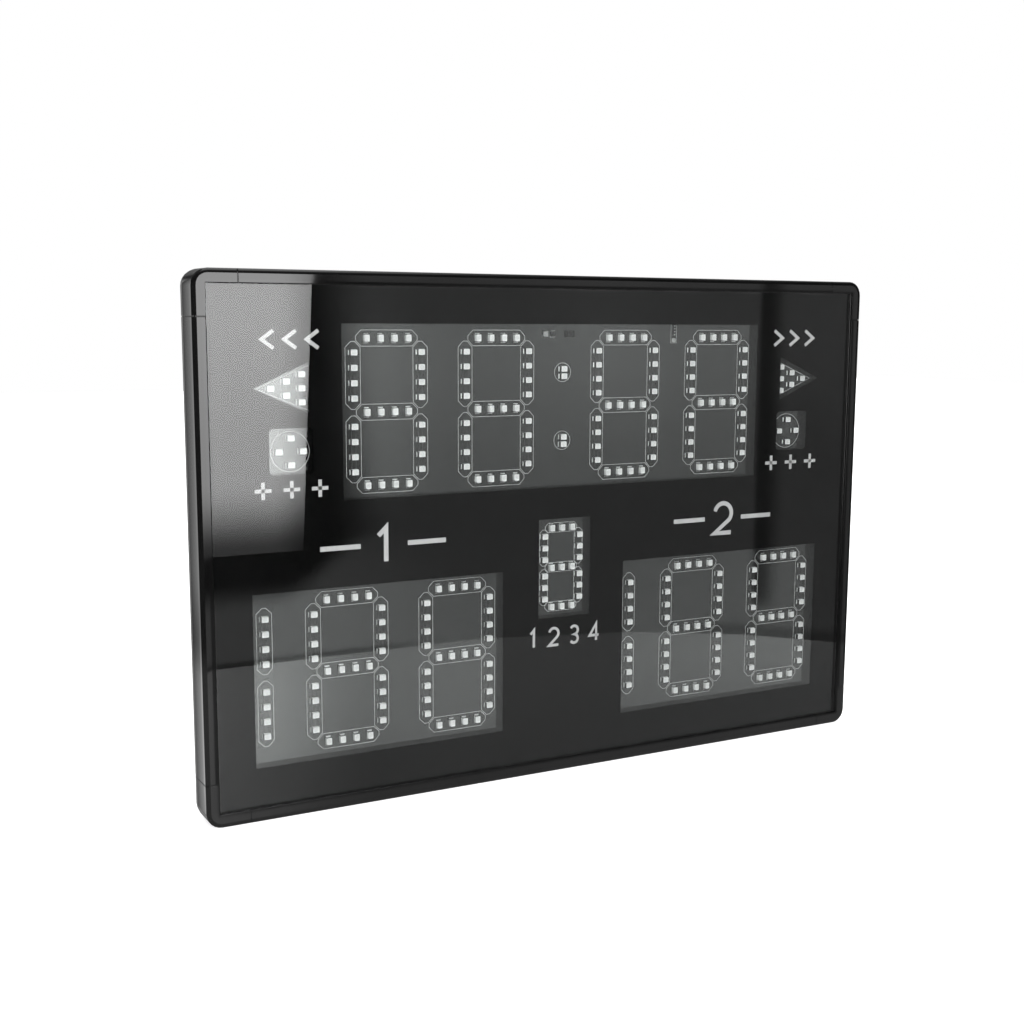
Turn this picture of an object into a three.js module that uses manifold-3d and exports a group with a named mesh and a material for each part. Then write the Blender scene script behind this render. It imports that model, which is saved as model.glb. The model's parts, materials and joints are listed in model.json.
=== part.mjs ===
import * as THREE from "three";
import { mergeVertices } from "three/addons/utils/BufferGeometryUtils.js";
import Module from "manifold-3d";

// Electronic scoreboard for a table, in millimetres, +Z up.
// The front faces -Y, X runs to the right as seen from the front, and Z is 0 under the frame.
// Depths are counted from the front face towards the back. An inset is counted from an outer side inwards.

// Overall size
const WIDTH = 375;
const HEIGHT = 250;
const DEPTH = 23;

// Fits
const CLEARANCE = 0.3;
const FACE_GAP = 0.05;
const OVERRUN = 1;

// Smoothness of round shapes, in straight steps
const ROUND_STEPS = 24;
const HOLE_STEPS = 12;
const QUARTER_STEPS = 6;
const FRONT_STEPS = 5;

// Frame profile: insets and depths of one rail's section
const FRONT_ROUNDING_WIDTH = 2.2;
const FRONT_ROUNDING_DEPTH = 1.05;
const BAND_EASE = 0.25;
const BAND_EASE_LENGTH = 2.5;
const REAR_ROUNDING = 6;
const LIP_WIDTH = 6.2;
const LIP_THICKNESS = 1;
const GROOVE_INSET = 2.7;
const RIB_INSET = 5.2;
const RIB_THICKNESS = 1.4;
const SIDE_WALL = 1.6;
const FLANGE_INSET = 15;
const FLANGE_THICKNESS = 1.4;
const REBATE_INSET = 7.2;

// Moulded corner pieces
const CORNER_LENGTH = 20.5;
const CORNER_RADIUS = 7.5;
const LEAST_RADIUS = 0.4;
const SEAM_GAP = 0.2;
const SPIGOT_LENGTH = 12;
const BOSS_INSET = 17;

// Front sheet, its print and the LED board
const SHEET_THICKNESS = 2;
const PRINT_THICKNESS = 0.2;
const BOARD_DEPTH = 7;
const BOARD_THICKNESS = 1.6;

// Windows in the print. A margin is counted from the frame's outer side, a rise or drop from the middle.
const CLOCK_SIDE_MARGIN = 68.9;
const CLOCK_TOP_MARGIN = 23.5;
const CLOCK_FOOT_RISE = 21;
const SCORE_SIDE_MARGIN = 24.35;
const SCORE_BOTTOM_MARGIN = 24.55;
const SCORE_INNER_SHIFT = 35.05;
const SCORE_TOP_DROP = 19.4;
const PERIOD_WINDOW_WIDTH = 30.2;
const PERIOD_WINDOW_HEIGHT = 50.4;
const PERIOD_DROP = 20;
const ARROW_BASE_MARGIN = 53;
const ARROW_TOP_MARGIN = 52.1;
const ARROW_LENGTH = 26;
const ARROW_HEIGHT = 23.2;
const BONUS_WINDOW_SIZE = 20.9;
const BONUS_WINDOW_RADIUS = 2;
const BONUS_SIDE_MARGIN = 44.2;
const BONUS_TOP_MARGIN = 80.5;

// One LED. Its group is soldered to a copper track as wide as the LED is long.
const LED_LENGTH = 3.5;
const LED_WIDTH = 2.8;
const LED_HEIGHT = 1.9;
const TRACK_THICKNESS = 0.1;

// Large digits, to the centre lines of their segments, and the gaps about them in their windows
const CLOCK_DIGIT_SIDE_GAP = 6.85;
const CLOCK_DIGIT_TOP_GAP = 6.6;
const CLOCK_DIGIT_FOOT_GAP = 5.9;
const SCORE_DIGIT_SIDE_GAP = 6.4;
const SCORE_DIGIT_TOP_GAP = 5.8;
const DIGIT_GAP = 23.6;
const COLON_HALF_GAP = 20.15;
const DIGIT_SEGMENT_LEDS = 4;
const DIGIT_PITCH_SHARE = 0.206;

// Clock colon
const COLON_SPACING_SHARE = 0.497;
const COLON_LED_PITCH = 3.6;
const COLON_DOT_LEDS = 2;

// Small period digit
const PERIOD_HALF_WIDTH = 10.1;
const PERIOD_HALF_HEIGHT = 20.2;
const PERIOD_SEGMENT_LEDS = 3;
const PERIOD_PITCH_SHARE = 0.292;

// Possession arrows: three, two and one LEDs, counted outwards from the window's base
const ARROW_BASE_LED_STEP = 2.6;
const ARROW_MIDDLE_LED_STEP = 9.8;
const ARROW_TIP_LED_STEP = 17.2;
const ARROW_LED_PITCH = 6.3;
const ARROW_LED_DROP = 0.3;

// Bonus marks: four LEDs about a middle that lies off the window's middle, inwards and down
const BONUS_LED_SHIFT = 0.65;
const BONUS_LED_DROP = 0.3;
const BONUS_LED_REACH = 5.75;
const BONUS_LED_RISE = 6.1;

// Small parts on the front of the board, above the clock
const RECEIVER_LENGTH = 4;
const RECEIVER_WIDTH = 3.2;
const RECEIVER_HEIGHT = 1.9;
const RECEIVER_SHIFT = 3.6;
const SMALL_PARTS_MARGIN = 28.2;
const CAPACITOR_SIZE = 2.5;
const CAPACITOR_HEIGHT = 1.2;
const CAPACITOR_SHIFT = -10.3;
const RESISTOR_WIDTH = 2.3;
const RESISTOR_LENGTH = 3.2;
const RESISTOR_HEIGHT = 0.6;
const RESISTOR_SHIFT = -6;

// Chips and power parts on the back of the board. The power parts stand above the recess of the inlet.
const CONTROLLER_SIZE = 10;
const CONTROLLER_HEIGHT = 1.6;
const CONTROLLER_MARGIN = 50;
const DRIVER_LENGTH = 15.4;
const DRIVER_WIDTH = 7.5;
const DRIVER_HEIGHT = 2.3;
const DRIVER_MARGIN = 28;
const INDUCTOR_SIZE = 10;
const INDUCTOR_HEIGHT = 4;
const RESERVOIR_RADIUS = 4;
const RESERVOIR_HEIGHT = 10.5;
const POWER_PARTS_SPREAD = 8;
const POWER_PARTS_GAP = 8;
const BUZZER_RADIUS = 6;
const BUZZER_HEIGHT = 8.5;
const BUZZER_HOLE_RADIUS = 1.2;
const BUZZER_HOLE_DEPTH = 1.5;
const BUZZER_SIDE_MARGIN = 62.5;
const BUZZER_BOTTOM_MARGIN = 47;

// Battery pack, its lead and its socket
const BATTERY_WIDTH = 60;
const BATTERY_HEIGHT = 88;
const BATTERY_THICKNESS = 7.6;
const BATTERY_CORNER_RADIUS = 3;
const BATTERY_RISE = 2;
const LEAD_RADIUS = 1.4;
const LEAD_SIDES = 8;
const LEAD_STEPS = 10;
const LEAD_RUN = 9;
const LEAD_OFFSET = 18;
const LEAD_SOCKET_LENGTH = 8;
const LEAD_SOCKET_WIDTH = 6;
const LEAD_SOCKET_HEIGHT = 6;
const LEAD_SOCKET_OFFSET = 40;
const LEAD_SOCKET_RISE = 62;

// Rear cover
const COVER_THICKNESS = 2;
const COVER_RECESS = 0.6;
const SCREW_INSET = 11.5;
const MIDDLE_SCREW_SHIFT = 95;
const SCREW_HOLE_RADIUS = 1.7;
const COUNTERBORE_RADIUS = 3.1;
const COUNTERBORE_DEPTH = 0.9;
const KEYHOLE_SIDE_MARGIN = 67.5;
const KEYHOLE_TOP_MARGIN = 59;
const KEYHOLE_RADIUS = 4.4;
const KEYHOLE_SLOT_HALF_WIDTH = 2.2;
const KEYHOLE_SLOT_RISE = 9;
const SOUND_SLOT_WIDTH = 1.6;
const SOUND_SLOT_HEIGHT = 12;
const SOUND_SLOT_PITCH = 3.4;
const SOUND_SLOT_COUNT = 5;

// Cover screws
const SCREW_HEAD_RADIUS = 2.8;
const SCREW_HEAD_HEIGHT = 1.2;
const SCREW_SHANK_RADIUS = 1.3;
const SCREW_PILOT_RADIUS = 1.45;
const SCREW_TIP_DEPTH = 12;
const SCREW_CROSS_LENGTH = 3.2;
const SCREW_CROSS_WIDTH = 0.8;
const SCREW_CROSS_DEPTH = 0.8;
const SCREW_STEPS = 14;

// Rear prop: a moulded flap on a steel pin, in a tray of the cover
const PROP_WIDTH = 116;
const PROP_LENGTH = 152;
const PROP_TIP_HEIGHT = 12.6;
const PROP_SKIN = 2;
const PROP_RIB = 2;
const PROP_BARREL_RADIUS = 2.8;
const PROP_BORE_RADIUS = 1.7;
const PROP_PULL_WIDTH = 24;
const PROP_PULL_HEIGHT = 3;
const PROP_PULL_RISE = 0.5;
const PROP_STOP_WIDTH = 20;
const PROP_STOP_THICKNESS = 1.2;
const PROP_SIDE_GAP = 0.4;
const PROP_END_GAP = 0.5;
const PROP_FLOOR_GAP = 0.3;
const PROP_LARGEST_ANGLE = 25;
const PAD_WIDTH = 80;
const PAD_HEIGHT = 3;
const PIN_RADIUS = 1.5;
const PIN_HOLE_RADIUS = 1.6;
const PIN_OVERHANG = 0.6;
const TRAY_WALL = 2.4;
const TRAY_FLOOR = 1.6;

// Recess in the cover for the power inlet and the switch
const RECESS_WIDTH = 48;
const RECESS_HEIGHT = 25;
const RECESS_DEPTH = 3.8;
const RECESS_FLOOR = 2;
const RECESS_WALL = 1.6;
const RECESS_SIDE_MARGIN = 57.5;
const RECESS_BOTTOM_MARGIN = 40;

// Power inlet: a round DC socket
const INLET_BODY_SIZE = 9;
const INLET_COLLAR_RADIUS = 4;
const INLET_COLLAR_RISE = 0.6;
const INLET_BORE_RADIUS = 2.8;
const INLET_BORE_DEPTH = 8;
const INLET_PIN_RADIUS = 1;
const INLET_PIN_LENGTH = 7.4;
const INLET_OFFSET = -12;

// Power switch: housing and rocker
const SWITCH_OFFSET = 11;
const BEZEL_WIDTH = 13.4;
const BEZEL_HEIGHT = 19;
const BEZEL_THICKNESS = 1.2;
const SWITCH_BODY_WIDTH = 11.4;
const SWITCH_BODY_HEIGHT = 17;
const SWITCH_BODY_DEPTH = 8.6;
const SWITCH_WALL = 1.7;
const SWITCH_CAVITY_DEPTH = 6.4;
const ROCKER_WIDTH = 7.4;
const ROCKER_HALF_LENGTH = 5.7;
const ROCKER_HALF_FOOT = 5;
const ROCKER_END_RISE = 2.2;
const ROCKER_MIDDLE_RISE = 1.3;
const ROCKER_FOOT_DROP = 2.8;
const ROCKER_KEEL_DROP = 4;
const ROCKER_AXLE_RADIUS = 1;
const ROCKER_AXLE_REACH = 0.9;
const ROCKER_TILT = 12;

// Depths worked out from the sizes above
const sheetFront = LIP_THICKNESS + FACE_GAP;
const printFront = sheetFront + SHEET_THICKNESS + FACE_GAP;
const sheetGrooveEnd = printFront + PRINT_THICKNESS + FACE_GAP;
const boardFront = BOARD_DEPTH;
const boardRear = BOARD_DEPTH + BOARD_THICKNESS;
const boardGrooveStart = boardFront - FACE_GAP;
const boardGrooveEnd = boardRear + FACE_GAP;
const chamberFront = boardGrooveEnd + RIB_THICKNESS;
const coverRear = DEPTH - COVER_RECESS;
const coverFront = coverRear - COVER_THICKNESS;
const flangeFront = coverFront - FLANGE_THICKNESS - FACE_GAP;
const rebateDepth = coverFront - FACE_GAP;
const bandEnd = DEPTH - REAR_ROUNDING;

// Insets of the plates that the frame holds
const plateInset = GROOVE_INSET + CLEARANCE;
const coverInset = REBATE_INSET + CLEARANCE;
const railStart = CORNER_LENGTH + SEAM_GAP;

// The middle of the face, and how far it reaches to each side and up or down
const middleHeight = HEIGHT / 2;
const halfWidth = WIDTH / 2;
const halfHeight = HEIGHT / 2;

// Windows and digits worked out from their margins and gaps
const clockWindowWidth = 2 * (halfWidth - CLOCK_SIDE_MARGIN);
const clockWindowHeight = halfHeight - CLOCK_TOP_MARGIN - CLOCK_FOOT_RISE;
const scoreWindowWidth = halfWidth - SCORE_SIDE_MARGIN - SCORE_INNER_SHIFT;
const scoreWindowHeight = halfHeight - SCORE_BOTTOM_MARGIN - SCORE_TOP_DROP;
const scoreWindowShift = SCORE_INNER_SHIFT + scoreWindowWidth / 2;
// Two digits fill half of the clock, so the gaps leave room for four of their half widths.
const digitHalfWidth = (clockWindowWidth / 2 - CLOCK_DIGIT_SIDE_GAP - DIGIT_GAP - COLON_HALF_GAP) / 4;
const digitHalfHeight = (clockWindowHeight - CLOCK_DIGIT_TOP_GAP - CLOCK_DIGIT_FOOT_GAP) / 2;
const clockInnerShift = COLON_HALF_GAP + digitHalfWidth;
const clockOuterShift = clockInnerShift + 2 * digitHalfWidth + DIGIT_GAP;
const clockShifts = [-clockOuterShift, -clockInnerShift, clockInnerShift, clockOuterShift];
const clockDigitsRise = CLOCK_FOOT_RISE + CLOCK_DIGIT_FOOT_GAP + digitHalfHeight;
const scoreDigitsDrop = SCORE_TOP_DROP + SCORE_DIGIT_TOP_GAP + digitHalfHeight;
const hundredsShift = SCORE_DIGIT_SIDE_GAP - scoreWindowWidth / 2;
const tensShift = hundredsShift + DIGIT_GAP + digitHalfWidth;
const unitsShift = tensShift + 2 * digitHalfWidth + DIGIT_GAP;
const arrowBaseShift = halfWidth - ARROW_BASE_MARGIN;
const arrowRise = halfHeight - ARROW_TOP_MARGIN;
const bonusShift = halfWidth - BONUS_SIDE_MARGIN;
const bonusRise = halfHeight - BONUS_TOP_MARGIN;

// Places on the back: the recess of the inlet and switch, the buzzer and the keyholes
const recessShift = halfWidth - RECESS_SIDE_MARGIN;
const recessDrop = halfHeight - RECESS_BOTTOM_MARGIN;
const buzzerShift = BUZZER_SIDE_MARGIN - halfWidth;
const buzzerDrop = halfHeight - BUZZER_BOTTOM_MARGIN;
const keyholeShift = halfWidth - KEYHOLE_SIDE_MARGIN;
const keyholeRise = halfHeight - KEYHOLE_TOP_MARGIN;

// Joins and cuts of closed shapes
const COORDINATES = 3;
const kernel = await Module();
kernel.setup();

function solidOf(geometry) {
  const bare = geometry.clone();
  bare.deleteAttribute("normal");
  bare.deleteAttribute("uv");
  const merged = mergeVertices(bare);
  const mesh = new kernel.Mesh({
    numProp: COORDINATES,
    vertProperties: new Float32Array(merged.attributes.position.array),
    triVerts: new Uint32Array(merged.index.array),
  });
  return new kernel.Manifold(mesh);
}

function geometryOf(solid) {
  const mesh = solid.getMesh();
  const geometry = new THREE.BufferGeometry();
  geometry.setAttribute("position", new THREE.BufferAttribute(mesh.vertProperties, COORDINATES));
  geometry.setIndex(new THREE.BufferAttribute(mesh.triVerts, 1));
  geometry.computeVertexNormals();
  return geometry;
}

// Adds some shapes to a body and then takes others away from it.
function combined(body, added, removed = []) {
  let solid = solidOf(body);
  for (const geometry of added) {
    solid = solid.add(solidOf(geometry));
  }
  for (const geometry of removed) {
    solid = solid.subtract(solidOf(geometry));
  }
  return geometryOf(solid);
}

// A block between two opposite corners. Its faces lie exactly at the corners' places.
function block(low, high) {
  const geometry = new THREE.BoxGeometry();
  const positions = geometry.attributes.position;
  for (let index = 0; index < positions.count; index += 1) {
    const x = positions.getX(index) < 0 ? low[0] : high[0];
    const y = positions.getY(index) < 0 ? low[1] : high[1];
    const z = positions.getZ(index) < 0 ? low[2] : high[2];
    positions.setXYZ(index, x, y, z);
  }
  return geometry;
}

// A round rod along the depth, from one depth to another.
function depthRod(radius, from, to, x, z, steps = ROUND_STEPS) {
  const geometry = new THREE.CylinderGeometry(radius, radius, to - from, steps);
  geometry.translate(x, (from + to) / 2, z);
  return geometry;
}

// A round rod along X, about the local origin.
function crossRod(radius, length, steps = ROUND_STEPS) {
  const geometry = new THREE.CylinderGeometry(radius, radius, length, steps);
  geometry.rotateZ(Math.PI / 2);
  return geometry;
}

// An arc in an outline is drawn with twice as many straight steps as its segments.
function arcSegments(steps) {
  return Math.ceil(steps / 2);
}

// An upright plate cut to an outline: X and Z follow the outline, and Y runs from 0 to its thickness.
function plate(outline, thickness, quarterSteps = QUARTER_STEPS) {
  const settings = { depth: thickness, bevelEnabled: false, curveSegments: arcSegments(quarterSteps) };
  const geometry = new THREE.ExtrudeGeometry(outline, settings);
  geometry.rotateX(Math.PI / 2);
  geometry.translate(0, thickness, 0);
  return geometry;
}

// A rectangle with round corners about its own middle.
function roundedOutline(width, height, radius) {
  const outline = new THREE.Shape();
  const x = width / 2 - radius;
  const z = height / 2 - radius;
  outline.absarc(x, -z, radius, -Math.PI / 2, 0);
  outline.absarc(x, z, radius, 0, Math.PI / 2);
  outline.absarc(-x, z, radius, Math.PI / 2, Math.PI);
  outline.absarc(-x, -z, radius, Math.PI, Math.PI * 1.5);
  outline.closePath();
  return outline;
}

// Colours and finishes
const BLACK_GLOSS = { color: 0x0c0c0d, roughness: 0.15, metalness: 0 };
const BLACK_MATTE = { color: 0x17181a, roughness: 0.6, metalness: 0 };
const BLACK_PRINT = { color: 0x1b1c1e, roughness: 0.5, metalness: 0 };
const CLEAR_SHEET = { color: 0xb9bec2, roughness: 0.05, metalness: 0, transparent: true, opacity: 0.3 };
const DARK_BOARD = { color: 0x3c3f42, roughness: 0.55, metalness: 0 };
const WHITE_LED = { color: 0xe9ebea, roughness: 0.4, metalness: 0 };
const CHIP_BLACK = { color: 0x202124, roughness: 0.5, metalness: 0 };
const PART_TAN = { color: 0x9a8c78, roughness: 0.5, metalness: 0 };
const CASE_SILVER = { color: 0xaab0b4, roughness: 0.35, metalness: 0.8 };
const BATTERY_SLEEVE = { color: 0x33557a, roughness: 0.45, metalness: 0 };
const CONNECTOR_WHITE = { color: 0xdcd8cc, roughness: 0.5, metalness: 0 };
const WIRE_RED = { color: 0x8c1f1a, roughness: 0.5, metalness: 0 };
const STEEL = { color: 0x8d9296, roughness: 0.3, metalness: 1 };
const RUBBER = { color: 0x111112, roughness: 0.85, metalness: 0 };

function piece(name, geometry, finish) {
  const mesh = new THREE.Mesh(geometry, new THREE.MeshStandardMaterial(finish));
  mesh.name = name;
  return mesh;
}

function placed(mesh, x, y, z) {
  mesh.position.set(x, y, z);
  return mesh;
}

// Frame: the outside of its section, as insets and depths from the front rounding to the rear lip
function outsideOfSection() {
  const points = [];
  for (let step = 0; step <= FRONT_STEPS; step += 1) {
    const turn = ((Math.PI / 2) * step) / FRONT_STEPS;
    points.push([FRONT_ROUNDING_WIDTH * (1 - Math.sin(turn)), FRONT_ROUNDING_DEPTH * (1 - Math.cos(turn))]);
  }
  points.push([0, bandEnd - BAND_EASE_LENGTH]);
  for (let step = 0; step <= QUARTER_STEPS; step += 1) {
    const turn = ((Math.PI / 2) * step) / QUARTER_STEPS;
    const inset = REAR_ROUNDING - (REAR_ROUNDING - BAND_EASE) * Math.cos(turn);
    points.push([inset, bandEnd + REAR_ROUNDING * Math.sin(turn)]);
  }
  return points;
}

function railSection() {
  const points = [
    ...outsideOfSection(),
    [REBATE_INSET, DEPTH],
    [REBATE_INSET, rebateDepth],
    [FLANGE_INSET, rebateDepth],
    [FLANGE_INSET, flangeFront],
    [SIDE_WALL, flangeFront],
    [SIDE_WALL, chamberFront],
    [RIB_INSET, chamberFront],
    [RIB_INSET, boardGrooveEnd],
    [GROOVE_INSET, boardGrooveEnd],
    [GROOVE_INSET, boardGrooveStart],
    [RIB_INSET, boardGrooveStart],
    [RIB_INSET, sheetGrooveEnd],
    [GROOVE_INSET, sheetGrooveEnd],
    [GROOVE_INSET, LIP_THICKNESS],
    [LIP_WIDTH, LIP_THICKNESS],
    [LIP_WIDTH, 0],
  ];
  return new THREE.Shape(points.map(([inset, depth]) => new THREE.Vector2(inset, depth)));
}

// In a rail's own frame X is the inset, Y the depth and Z runs along the rail.
function railGeometry(length, cuts) {
  const geometry = new THREE.ExtrudeGeometry(railSection(), { depth: length, bevelEnabled: false });
  return cuts.length > 0 ? combined(geometry, [], cuts) : geometry;
}

function rail(name, length, inward, along, start, cuts = []) {
  const mesh = piece(name, railGeometry(length, cuts), BLACK_GLOSS);
  const backward = new THREE.Vector3(0, 1, 0);
  mesh.quaternion.setFromRotationMatrix(new THREE.Matrix4().makeBasis(inward, backward, along));
  mesh.position.copy(start);
  return mesh;
}

const longRail = WIDTH - 2 * railStart;
const shortRail = HEIGHT - 2 * railStart;
const trayHalfWidth = PROP_WIDTH / 2 + PROP_SIDE_GAP + TRAY_WALL;
const trayLow = PROP_TIP_HEIGHT - PROP_END_GAP - TRAY_WALL;

function railScrewHoles(length) {
  const holes = [];
  for (const side of [-1, 1]) {
    const along = length / 2 + side * MIDDLE_SCREW_SHIFT;
    const front = flangeFront - OVERRUN;
    const rear = rebateDepth + OVERRUN;
    holes.push(depthRod(SCREW_PILOT_RADIUS, front, rear, SCREW_INSET, along, HOLE_STEPS));
  }
  return holes;
}

// The bottom rail's flange is notched where the prop's tray comes down to it.
function trayNotch(length) {
  return block(
    [trayLow - CLEARANCE, flangeFront - OVERRUN, length / 2 - trayHalfWidth - CLEARANCE],
    [FLANGE_INSET + OVERRUN, rebateDepth + OVERRUN, length / 2 + trayHalfWidth + CLEARANCE],
  );
}

// Corner pieces: in a corner's own frame X and Z are its two insets and Y is the depth.
// The outline runs from one seam round the outer corner to the other seam, at one inset.
function cornerOutline(inset, reach, depth, radius) {
  const round = Math.max(radius - inset, LEAST_RADIUS);
  const centre = inset + round;
  const points = [new THREE.Vector3(reach, depth, reach), new THREE.Vector3(inset, depth, reach)];
  for (let step = 0; step <= QUARTER_STEPS; step += 1) {
    const turn = ((Math.PI / 2) * step) / QUARTER_STEPS;
    points.push(new THREE.Vector3(centre - round * Math.cos(turn), depth, centre - round * Math.sin(turn)));
  }
  points.push(new THREE.Vector3(reach, depth, inset));
  return points;
}

// Joins convex outlines, given front to back, into one closed body.
function loft(outlines) {
  const count = outlines[0].length;
  const last = (outlines.length - 1) * count;
  const triangles = [];
  for (let index = 1; index < count - 1; index += 1) {
    triangles.push(0, index, index + 1);
    triangles.push(last, last + index + 1, last + index);
  }
  for (let row = 0; row < outlines.length - 1; row += 1) {
    for (let index = 0; index < count; index += 1) {
      const next = (index + 1) % count;
      const a = row * count + index;
      const b = row * count + next;
      triangles.push(a, a + count, b);
      triangles.push(b, a + count, b + count);
    }
  }
  const geometry = new THREE.BufferGeometry().setFromPoints(outlines.flat());
  geometry.setIndex(triangles);
  return geometry;
}

const cornerReach = CORNER_LENGTH + OVERRUN;

function roundPocket(inset, from, to) {
  return loft([from, to].map((depth) => cornerOutline(inset, cornerReach, depth, CORNER_RADIUS)));
}

function squarePocket(inset, from, to) {
  return block([inset, from, inset], [cornerReach, to, cornerReach]);
}

// A spigot reaches past the seam into the chamber of the rail beside it.
function spigots() {
  const near = CORNER_LENGTH - OVERRUN;
  const far = CORNER_LENGTH + SPIGOT_LENGTH;
  const low = SIDE_WALL + CLEARANCE;
  const front = chamberFront + CLEARANCE;
  const rear = flangeFront - CLEARANCE;
  return [
    block([near, front, low], [far, rear, RIB_INSET]),
    block([low, front, near], [RIB_INSET, rear, far]),
  ];
}

function cornerGeometry() {
  const outside = outsideOfSection();
  const outlines = outside.map(([inset, depth]) => cornerOutline(inset, CORNER_LENGTH, depth, CORNER_RADIUS));
  const hollow = combined(loft(outlines), [], [
    squarePocket(LIP_WIDTH, -OVERRUN, LIP_THICKNESS),
    roundPocket(GROOVE_INSET, LIP_THICKNESS, sheetGrooveEnd),
    roundPocket(RIB_INSET, sheetGrooveEnd, boardGrooveStart),
    roundPocket(GROOVE_INSET, boardGrooveStart, boardGrooveEnd),
    roundPocket(RIB_INSET, boardGrooveEnd, flangeFront),
    squarePocket(FLANGE_INSET, flangeFront, rebateDepth),
    roundPocket(REBATE_INSET, rebateDepth, DEPTH + OVERRUN),
  ]);
  const bossLow = RIB_INSET - CLEARANCE;
  const boss = block([bossLow, chamberFront, bossLow], [BOSS_INSET, rebateDepth, BOSS_INSET]);
  const pilotFront = chamberFront - OVERRUN;
  const pilot = depthRod(SCREW_PILOT_RADIUS, pilotFront, DEPTH, SCREW_INSET, SCREW_INSET, HOLE_STEPS);
  return combined(hollow, [boss, ...spigots()], [pilot]);
}

function corner(name, x, z, turn) {
  const mesh = piece(name, cornerGeometry(), BLACK_GLOSS);
  mesh.rotation.y = turn;
  return placed(mesh, x, 0, z);
}

function frameGroup() {
  const group = new THREE.Group();
  const half = halfWidth;
  const right = new THREE.Vector3(1, 0, 0);
  const left = new THREE.Vector3(-1, 0, 0);
  const up = new THREE.Vector3(0, 0, 1);
  const down = new THREE.Vector3(0, 0, -1);
  const holes = railScrewHoles(longRail);
  const bottomCuts = [...holes, trayNotch(longRail)];
  group.add(rail("frame_top", longRail, down, right, new THREE.Vector3(-longRail / 2, 0, HEIGHT), holes));
  group.add(rail("frame_bottom", longRail, up, left, new THREE.Vector3(longRail / 2, 0, 0), bottomCuts));
  group.add(rail("frame_left", shortRail, right, up, new THREE.Vector3(-half, 0, railStart)));
  group.add(rail("frame_right", shortRail, left, down, new THREE.Vector3(half, 0, HEIGHT - railStart)));
  group.add(corner("corner_bottom_left", -half, 0, 0));
  group.add(corner("corner_bottom_right", half, 0, -Math.PI / 2));
  group.add(corner("corner_top_right", half, HEIGHT, Math.PI));
  group.add(corner("corner_top_left", -half, HEIGHT, Math.PI / 2));
  return group;
}

// Plates in the frame's grooves: the clear sheet, its print and the LED board
function plateOutline() {
  const radius = Math.max(CORNER_RADIUS - plateInset, LEAST_RADIUS);
  return roundedOutline(WIDTH - 2 * plateInset, HEIGHT - 2 * plateInset, radius);
}

// Cutters for the windows run right through the print.
const windowCut = PRINT_THICKNESS + 2 * OVERRUN;

function windowBlock(x, z, width, height) {
  const low = [x - width / 2, -OVERRUN, z - height / 2];
  const high = [x + width / 2, PRINT_THICKNESS + OVERRUN, z + height / 2];
  return block(low, high);
}

// The arrow windows point outwards, away from the middle of the face.
function arrowWindow(side) {
  const outline = new THREE.Shape();
  outline.moveTo(0, -ARROW_HEIGHT / 2);
  outline.lineTo(side * ARROW_LENGTH, 0);
  outline.lineTo(0, ARROW_HEIGHT / 2);
  outline.closePath();
  return plate(outline, windowCut).translate(side * arrowBaseShift, -OVERRUN, arrowRise);
}

function bonusWindow(side) {
  const outline = roundedOutline(BONUS_WINDOW_SIZE, BONUS_WINDOW_SIZE, BONUS_WINDOW_RADIUS);
  return plate(outline, windowCut).translate(side * bonusShift, -OVERRUN, bonusRise);
}

function printGeometry() {
  const windows = [
    windowBlock(0, CLOCK_FOOT_RISE + clockWindowHeight / 2, clockWindowWidth, clockWindowHeight),
    windowBlock(0, -PERIOD_DROP, PERIOD_WINDOW_WIDTH, PERIOD_WINDOW_HEIGHT),
  ];
  for (const side of [-1, 1]) {
    const drop = SCORE_TOP_DROP + scoreWindowHeight / 2;
    windows.push(windowBlock(side * scoreWindowShift, -drop, scoreWindowWidth, scoreWindowHeight));
    windows.push(arrowWindow(side));
    windows.push(bonusWindow(side));
  }
  return combined(plate(plateOutline(), PRINT_THICKNESS), [], windows);
}

function plateGroup() {
  const group = new THREE.Group();
  group.position.z = middleHeight;
  const sheet = piece("front_sheet", plate(plateOutline(), SHEET_THICKNESS), CLEAR_SHEET);
  const print = piece("front_print", printGeometry(), BLACK_PRINT);
  const board = piece("led_board", plate(plateOutline(), BOARD_THICKNESS), DARK_BOARD);
  group.add(placed(sheet, 0, sheetFront, 0));
  group.add(placed(print, 0, printFront, 0));
  group.add(placed(board, 0, boardFront, 0));
  return group;
}

// LED groups. A place is an LED's X and Z about its group's middle, and whether its long side stands upright.
function ledRow(x, z, pitch, count, upright) {
  const places = [];
  for (let index = 0; index < count; index += 1) {
    const shift = (index - (count - 1) / 2) * pitch;
    places.push(upright ? { x, z: z + shift, upright: false } : { x: x + shift, z, upright: true });
  }
  return places;
}

// A strip of copper from one point to another, along X or along Z.
function track([x0, z0], [x1, z1]) {
  const half = LED_LENGTH / 2;
  const low = [Math.min(x0, x1) - half, -TRACK_THICKNESS, Math.min(z0, z1) - half];
  const high = [Math.max(x0, x1) + half, 0, Math.max(z0, z1) + half];
  return block(low, high);
}

function ledBlock({ x, z, upright }) {
  const width = upright ? LED_WIDTH : LED_LENGTH;
  const height = upright ? LED_LENGTH : LED_WIDTH;
  const low = [x - width / 2, -LED_HEIGHT, z - height / 2];
  const high = [x + width / 2, -TRACK_THICKNESS, z + height / 2];
  return block(low, high);
}

// Y is 0 on the board, the track lies on it, and the LEDs stand on the track towards the front.
function ledGroup(name, places, tracks, x, z) {
  const [first, ...others] = tracks;
  const mesh = piece(name, combined(first, [...others, ...places.map(ledBlock)]), WHITE_LED);
  return placed(mesh, x, boardFront - FACE_GAP, z);
}

// Two upright segments, one above the other. The pitch is a share of the segment's length.
function columnPlaces(x, reach, pitchShare, count) {
  return [-1, 1].flatMap((side) => ledRow(x, (side * reach) / 2, reach * pitchShare, count, true));
}

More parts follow.
